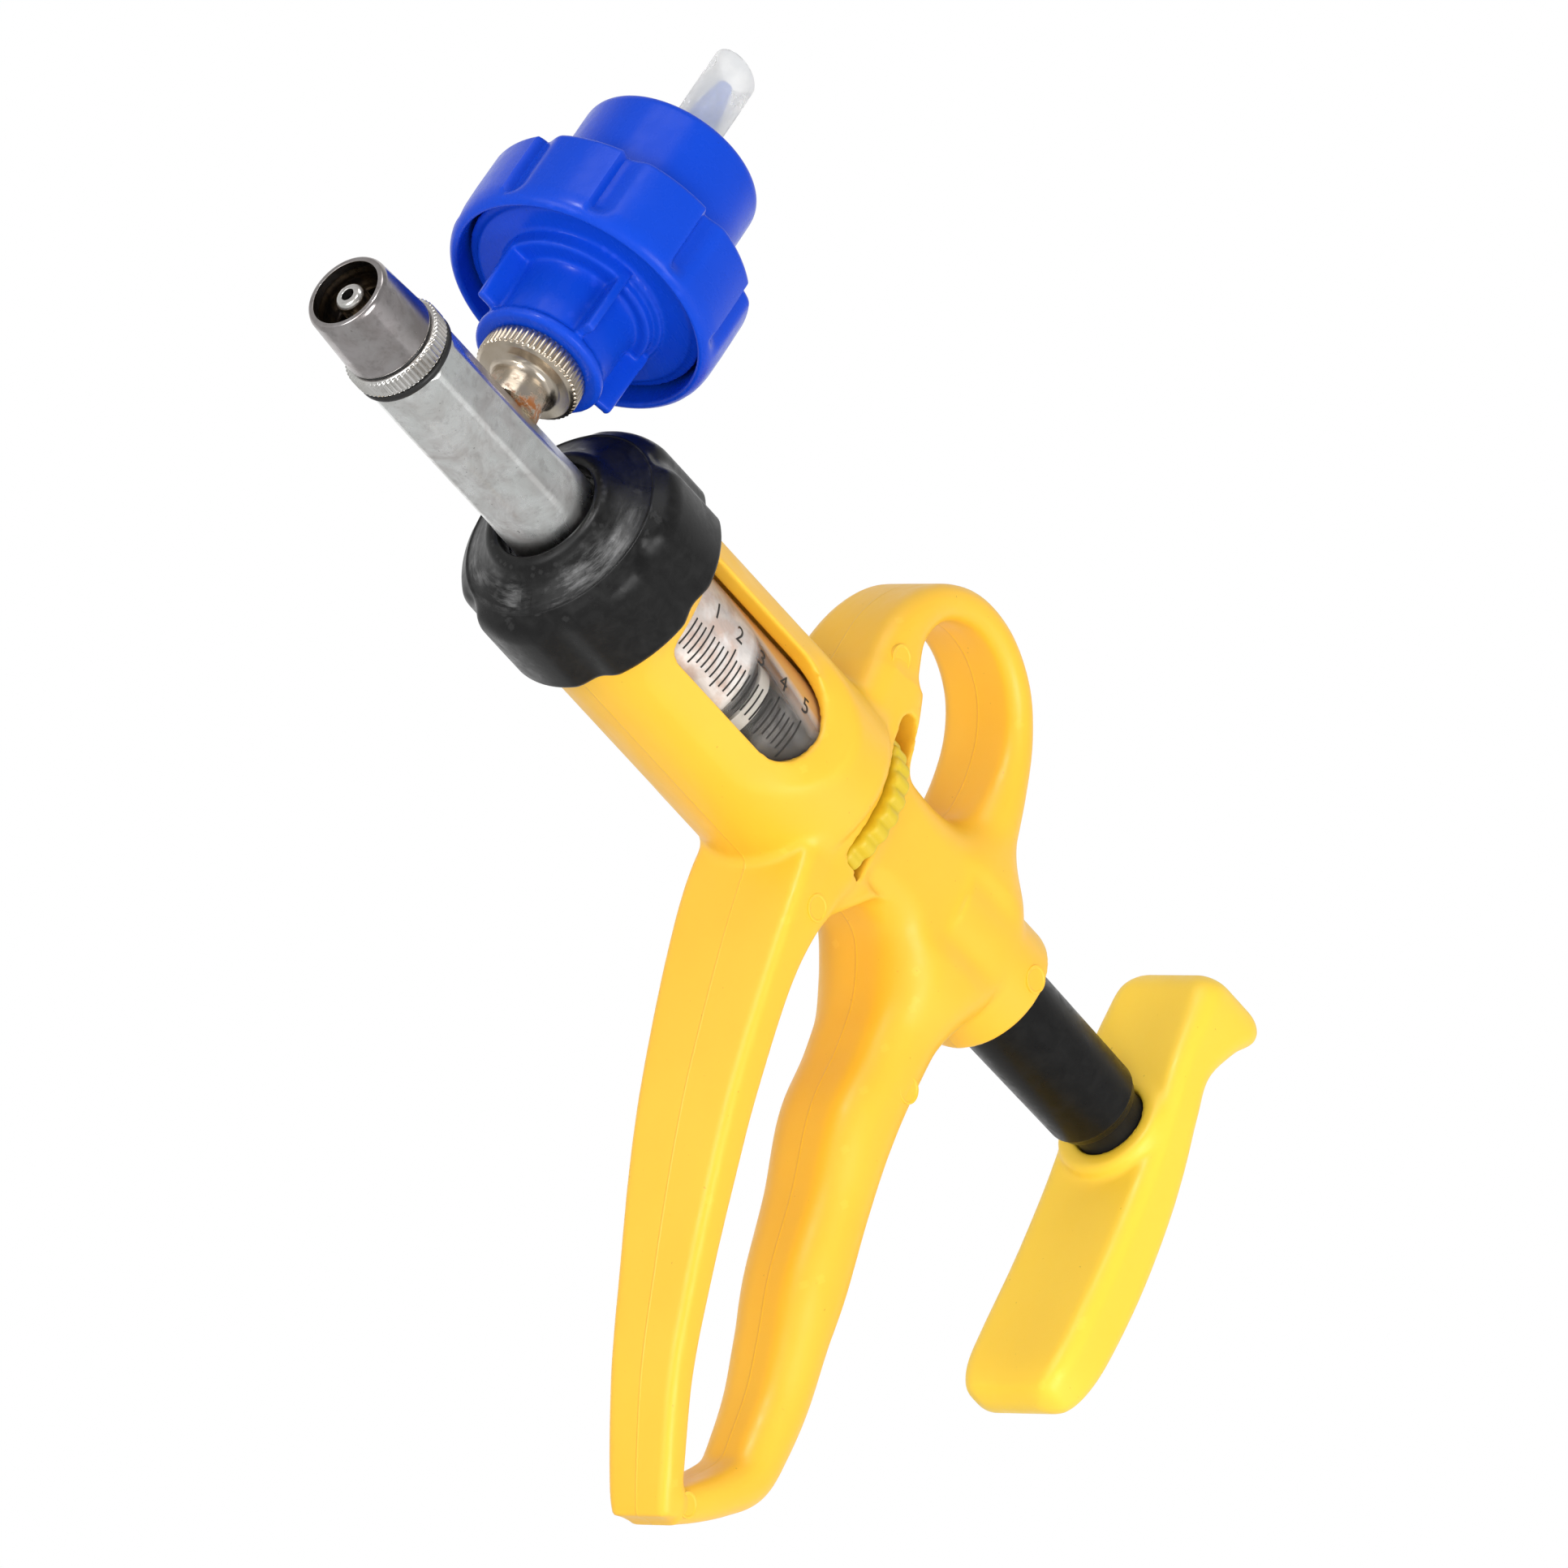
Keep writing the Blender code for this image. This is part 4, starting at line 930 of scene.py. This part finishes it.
def figure(number):
    """Figure that reads along the barrel, with its head towards the bottle side."""
    curve = bpy.data.curves.new("figure_%d" % number, "FONT")
    curve.body = str(number)
    curve.size = FIGURE_SIZE
    curve.resolution_u = 6
    text = add_object("figure_%d" % number, curve)
    bpy.context.view_layer.update()
    bm = bmesh.new()
    bm.from_mesh(text.to_mesh())
    text.to_mesh_clear()
    bpy.data.objects.remove(text)
    bmesh.ops.triangulate(bm, faces=bm.faces)
    for _ in range(4):
        long_edges = [e for e in bm.edges if e.calc_length() > LONGEST_EDGE]
        bmesh.ops.subdivide_edges(bm, edges=long_edges, cuts=1)
        bmesh.ops.triangulate(bm, faces=bm.faces)
    points = np.array([v.co[:2] for v in bm.verts])
    points -= 0.5 * (points.min(axis=0) + points.max(axis=0))
    loops = [[v.index for v in f.verts] for f in bm.faces]
    bm.free()
    x = ZERO_X + ML * number + points[:, 0]
    around = FIGURE_ANGLE - points[:, 1] / PRINT_RADIUS
    count = len(points)
    vertices = [*on_barrel(x, PRINT_RADIUS - PRINT_DEPTH, around), *on_barrel(x, PRINT_RADIUS, around)]
    faces = []
    edges = {}
    for loop in loops:
        faces += [[count + n for n in loop], loop[::-1]]
        for edge in zip(loop, loop[1:] + loop[:1]):
            edges[edge] = True
    faces += [[count + a, a, b, count + b] for a, b in edges if (b, a) not in edges]
    return vertices, faces


def make_scale():
    """Five marks to the millilitre, every fifth one longer and with a figure."""
    parts = []
    for i in range(1, 26):
        start, end = (-56.5, -91.5) if i % 5 == 0 else (-61.0, -85.5)
        parts.append(bar(ZERO_X + ML * i / 5.0, math.radians(start), math.radians(end)))
    parts += [figure(number) for number in range(1, 6)]
    vertices = []
    faces = []
    for more_vertices, more_faces in parts:
        base = len(vertices)
        vertices += more_vertices
        faces += [[base + n for n in face] for face in more_faces]
    made = add_mesh("barrel_scale", np.array(vertices), faces, ink, smooth_angle=30.0)
    clean(made, merge=False)
    show(made, None, BODY)


make_scale()

# ---------------- bottle adapter

RING_PHASE = math.radians(15.0)


def ring_grooves(along, radius, around):
    """Nine finger grooves with one steep side and one slow ramp."""
    turn = np.degrees((around - RING_PHASE) % (FULL_TURN / 9.0))
    turn = np.where(turn > 30.0, turn - 40.0, turn)
    groove = step_between(turn, -2.6, -0.4) * (1.0 - step_between(turn, 0.2, 10.5))
    fade = step_between(along, 27.4, 30.4)
    strength = step_between(radius, 18.8, 19.7)
    return along, radius - 1.25 * groove * strength * fade


turned("ring_nut_moulding", "ring_nut", "ring_nut", blue, [
    (29.2, 18.3), (27.0, 18.35, 0.5), (26.65, 19.0, 0.6), (27.5, 19.85, 1.0), (29.2, 20.2, 0.8),
    (33.0, 20.23, 0.5), (39.1, 20.15, 0.4), (39.6, 19.8, 0.3), (39.6, 14.0, 0.2), (36.6, 13.75),
    (36.6, 18.35)], place=on_adapter, segments=324, rim=ring_grooves, arc=7)
turned("bottle_cup_moulding", "bottle_cup", BODY, blue, [
    (33.4, 4.0), (33.4, 17.7, 0.2), (36.3, 17.7, 0.2), (36.3, 13.4), (54.2, 13.35, 0.8),
    (54.95, 12.9, 0.5), (54.95, 11.9, 0.2), (36.3, 11.8), (36.3, 4.0)], place=on_adapter, segments=128)
turned("cup_gasket_disc", "cup_gasket", BODY, rubber, [
    (30.3, 6.4, 0.2), (30.3, 17.6, 0.3), (33.1, 17.6, 0.3), (33.1, 6.4, 0.2)], place=on_adapter)
turned("bottle_spike_moulding", "bottle_spike", BODY, spike_painted_lighter, [
    (27.3, 1.0), (27.3, 3.0, 0.2), (30.3, 3.0), (30.3, 5.9, 0.2), (32.8, 5.9, 0.2), (32.8, 3.4),
    (44.0, 3.2), (44.0, 2.55), (60.0, 2.5, 1.0), (66.0, 2.0, 1.0), (69.6, 1.3, 0.4), (70.4, 1.15, 0.1),
    (70.4, 1.0)], place=on_adapter, segments=64)


def oblique_end(along, radius, around):
    """The tube was cut slightly askew."""
    lean = np.where(along > 70.0, 1.1 * np.cos(around - math.radians(150.0)) - 1.1, 0.0)
    return along + lean, radius


turned("draw_tube_length", "draw_tube", BODY, tube_look, [
    (44.3, 2.8), (44.3, 3.65, 0.2), (70.5, 3.65), (74.4, 3.62, 0.2), (74.4, 2.85, 0.2), (70.5, 2.8)],
    place=on_adapter, segments=96, rim=oblique_end)
turned("hub_seal", "hub_o_ring", BODY, rubber, [
    (23.6, 3.3, 0.2), (23.7, 4.1, 0.3), (24.1, 4.15, 0.2), (24.6, 4.1, 0.3), (24.6, 3.3, 0.2)],
    place=on_adapter, segments=48)


HUB_CELL = 0.34
HUB_PHASE = -113.0


def make_hub():
    """Hub with a flanged neck, a stepped disc and radial fins, as one moulding."""
    low = (-19.0, -19.0, 14.0)
    x, y, z = grid(low, (19.0, 19.0, 31.2), HUB_CELL)
    reach = np.hypot(x, y) + 0.0 * z
    sector = np.degrees((np.arctan2(y, x) - math.radians(HUB_PHASE)) % FULL_TURN)
    neck_radius = 8.8 + 0.03 * (z - 17.0) + 0.3 * step_between(z, 25.0, 27.0)
    neck = np.maximum(reach - neck_radius, 15.9 - z)
    flange = np.hypot(np.maximum(reach - 8.95, 0.0), np.maximum(np.abs(z - 16.2) - 0.15, 0.0)) - 0.7
    flange = np.where(reach < 8.95, np.maximum(15.35 - z, z - 17.05), flange)
    disc = rounded_end(reach - 16.5, 28.9 - z, 0.6)
    disc = smooth_union(disc, np.maximum(reach - 17.7, 29.5 - z), 0.3)
    terrace = np.maximum(reach - 12.0, 28.1 - z)
    shelf = np.maximum(reach - 12.3, np.where(sector > 270.0, 26.4 - z, 28.1 - z))
    ear = np.maximum(reach - 11.2, np.where(sector < 90.0, 26.6 - z, 28.1 - z))
    solid = joined(neck, (disc, 0.3), (terrace, 0.3), (flange, 0.35), (shelf, 0.25), (ear, 0.3))
    solid = np.maximum(solid, z - 30.0)

    for k in range(4):
        direction = math.radians(HUB_PHASE + 90.0 * k)
        along = x * math.cos(direction) + y * math.sin(direction)
        aside = -x * math.sin(direction) + y * math.cos(direction)
        outer = 12.3 + 0.02 * (z - 17.4)
        fin = np.maximum(np.abs(aside) - 0.7, np.maximum(-along, (along - outer) * 0.92))
        fin = np.maximum(fin, np.maximum((17.0 + 0.12 * (along - 9.0)) - z, z - 28.0))
        solid = smooth_union(solid, fin, 0.35)
    bore = np.maximum(reach - 5.2, z - 24.8)
    throat = reach - np.where(z < 26.8, 1.5, 3.3)
    solid = np.maximum(solid, -np.minimum(bore, throat))
    made = surface_nets("adapter_hub_moulding", solid, low, HUB_CELL, blue)
    # From the adapter's own frame to the row frame.
    made.data.transform(Matrix.Translation((-ORIGIN_X, 0.0, -ORIGIN_Z)))
    made.data.transform(Matrix(((LEAN_COS, 0.0, LEAN_SIN, ADAPTER_X * MM), (0.0, 1.0, 0.0, 0.0),
                                (-LEAN_SIN, 0.0, LEAN_COS, 0.0), (0.0, 0.0, 0.0, 1.0))))
    made.data.transform(Matrix.Translation((ORIGIN_X, 0.0, ORIGIN_Z)))
    show(made, "adapter_hub", BODY)


make_hub()

# ---------------- springs and valves

SPRING_STEPS = 40
WIRE_SIDES = 12


def coil_spring(name, node, front, rear, radius, wire, turns, place):
    """Compression spring with closed end turns."""
    total = int(turns * SPRING_STEPS)
    turn = np.arange(total + 1) / SPRING_STEPS
    length = rear - front - wire
    end_pitch = 1.4 * wire
    pitch = (length - 2.0 * end_pitch) / (turns - 2.0)
    along = np.where(turn < 1.0, end_pitch * turn, end_pitch + pitch * (turn - 1.0))
    along = np.where(turn > turns - 1.0, length - end_pitch * (turns - turn), along)
    section = np.arange(WIRE_SIDES) * FULL_TURN / WIRE_SIDES
    centre = front + 0.5 * wire + along
    vertices = place(centre[:, None] + 0.5 * wire * np.sin(section),
                     radius + 0.5 * wire * np.cos(section) + 0.0 * centre[:, None],
                     (FULL_TURN * turn)[:, None] + 0.0 * section).reshape(-1, 3)
    faces = []
    for i in range(total):
        for k in range(WIRE_SIDES):
            m = (k + 1) % WIRE_SIDES
            a = i * WIRE_SIDES
            faces.append([a + k, a + m, a + WIRE_SIDES + m, a + WIRE_SIDES + k])
    faces.append(list(range(WIRE_SIDES)))
    faces.append([total * WIRE_SIDES + k for k in reversed(range(WIRE_SIDES))])
    made = add_mesh(name, vertices, faces, steel, smooth_angle=50.0)
    clean(made)
    show(made, node, BODY)
    fixed = design(place(np.array(front), np.array(0.0), np.array(0.0)))
    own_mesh(made)


coil_spring("return_spring_coil", "return_spring", 142.3, 192.5, 4.4, 0.9, 10.0, on_barrel)
coil_spring("outlet_spring_coil", "outlet_spring", 21.8, 28.3, 2.6, 0.5, 4.0, on_barrel)
coil_spring("inlet_spring_coil", "inlet_spring", 6.0, 11.3, 1.55, 0.4, 4.0, on_adapter)

turned("outlet_poppet_turning", "outlet_poppet", "outlet_valve", steel, [
    (26.5, 0.0), (26.5, 1.6, 0.2), (28.6, 1.6), (28.6, 3.5, 0.2), (30.0, 3.5, 0.2), (30.7, 2.8, 0.2),
    (30.7, 0.0)], segments=64)
turned("inlet_poppet_turning", "inlet_poppet", "inlet_valve", steel, [
    (9.6, 0.0), (9.6, 0.9, 0.1), (11.6, 0.9), (11.6, 2.0, 0.15), (13.2, 2.0, 0.2), (13.7, 1.6, 0.15),
    (13.7, 0.0)], place=on_adapter, segments=48)
turned("inlet_clip_ring", "inlet_spring_clip", BODY, steel, [
    (4.95, 0.95, 0.1), (4.95, 2.15, 0.1), (5.65, 2.15, 0.1), (5.65, 0.95, 0.1)],
    place=on_adapter, segments=48)

# ---------------- stage, light and camera

FORWARD = Vector((0.629, 0.642, 0.438)).normalized()
UP = Vector((0.527, -0.766, 0.368)).cross(FORWARD).normalized()
RIGHT = FORWARD.cross(UP).normalized()
TARGET = Vector(design((114.6, 0.0, -1.7)))
DISTANCE = 3.33
VIEW_WIDTH = 214.667
SENSOR_WIDTH = 36.0
FLOOR_HALF = 6.0
FLOOR_HEIGHT = -2.2
AMBIENT = 0.42

camera_data = bpy.data.cameras.new("photo_camera")
camera_data.sensor_width = SENSOR_WIDTH
camera_data.sensor_fit = "HORIZONTAL"
camera_data.lens = SENSOR_WIDTH * DISTANCE / (VIEW_WIDTH * MM)
camera_data.clip_start = 0.2
camera_data.clip_end = 30.0
camera = add_object("photo_camera", camera_data)
pose = Matrix((RIGHT, UP, -FORWARD)).transposed().to_4x4()
pose.translation = TARGET - FORWARD * DISTANCE
camera.matrix_world = pose
bpy.context.scene.camera = camera


def in_view(right, up, back):
    """Direction from the object in terms of the viewer's right, up and towards the viewer."""
    return RIGHT * right + UP * up - FORWARD * back


def area_light(name, direction, distance, width, height, power, off=None):
    """Soft light seen from the object in a direction of the view, with one effect off or none."""
    data = bpy.data.lights.new(name, "AREA")
    data.shape = "RECTANGLE"
    data.size = width
    data.size_y = height
    data.energy = power
    made = add_object(name, data)
    towards = in_view(*direction).normalized()
    made.location = TARGET + towards * distance
    made.rotation_euler = towards.to_track_quat("Z", "Y").to_euler()
    if off:
        setattr(made, off, False)


area_light("key_softbox", (-0.75, 0.35, 0.75), 1.3, 0.6, 0.6, 4.8)
area_light("fill_softbox", (0.50, -0.20, 0.90), 1.5, 0.7, 0.7, 10.0)
area_light("side_fill", (0.80, -0.60, 0.45), 0.55, 0.4, 0.4, 0.6, "visible_glossy")
area_light("front_fill", (-0.10, -0.15, 1.0), 3.7, 1.5, 1.5, 78.0, "visible_glossy")
area_light("glint", (-0.25, 0.75, 0.60), 1.5, 0.12, 0.12, 7.0, "visible_diffuse")
area_light("top_strip", (0.1, 1.0, 0.25), 1.3, 0.9, 0.35, 2.5)

floor_mesh = bpy.data.meshes.new("studio_floor")
floor_mesh.from_pydata([(-FLOOR_HALF, -FLOOR_HALF, 0), (FLOOR_HALF, -FLOOR_HALF, 0),
                        (FLOOR_HALF, FLOOR_HALF, 0), (-FLOOR_HALF, FLOOR_HALF, 0)], [],
                       [(0, 1, 2, 3)])
floor = add_object("studio_floor", floor_mesh)
floor.location = (0.0, 0.0, FLOOR_HEIGHT)
floor_look = plain_detail("floor_paper", None, (0.86, 0.86, 0.86), 0.8, 0.03, 3.0, 0.02)
floor_mesh.materials.append(floor_look.material)

world = bpy.data.worlds.new("studio")
bpy.context.scene.world = world
world.use_nodes = True
sky = Nodes(world.node_tree)
directions = sky.node("ShaderNodeTexCoord").outputs["Generated"]


def zone(direction, low, high, strength):
    """Smooth bright zone of the studio around one direction."""
    dot = sky.node("ShaderNodeVectorMath", {0: directions, 1: tuple(direction.normalized())},
                   operation="DOT_PRODUCT")
    return sky.remap(dot.outputs["Value"], low, high, 0.0, strength, interpolation_type="SMOOTHSTEP")


glow = zone(FORWARD, 0.30, 0.75, 0.58)
for bright in (zone(in_view(0.45, -0.87, 0.20), 0.40, 0.95, 0.42),
               zone(in_view(-0.8, 0.3, 0.5), 0.20, 0.95, 0.30),
               zone(in_view(0.98, 0.05, -0.20), 0.70, 0.98, 0.05)):
    glow = sky.math("ADD", glow, bright)
glow = sky.math("ADD", glow, AMBIENT)
grey = sky.node("ShaderNodeCombineColor", {"Red": glow, "Green": glow, "Blue": glow})
sky.feed(sky.tree.nodes["Background"].inputs["Color"], grey.outputs["Color"])

bpy.context.scene.view_settings.view_transform = "Standard"

bpy.context.view_layer.update()
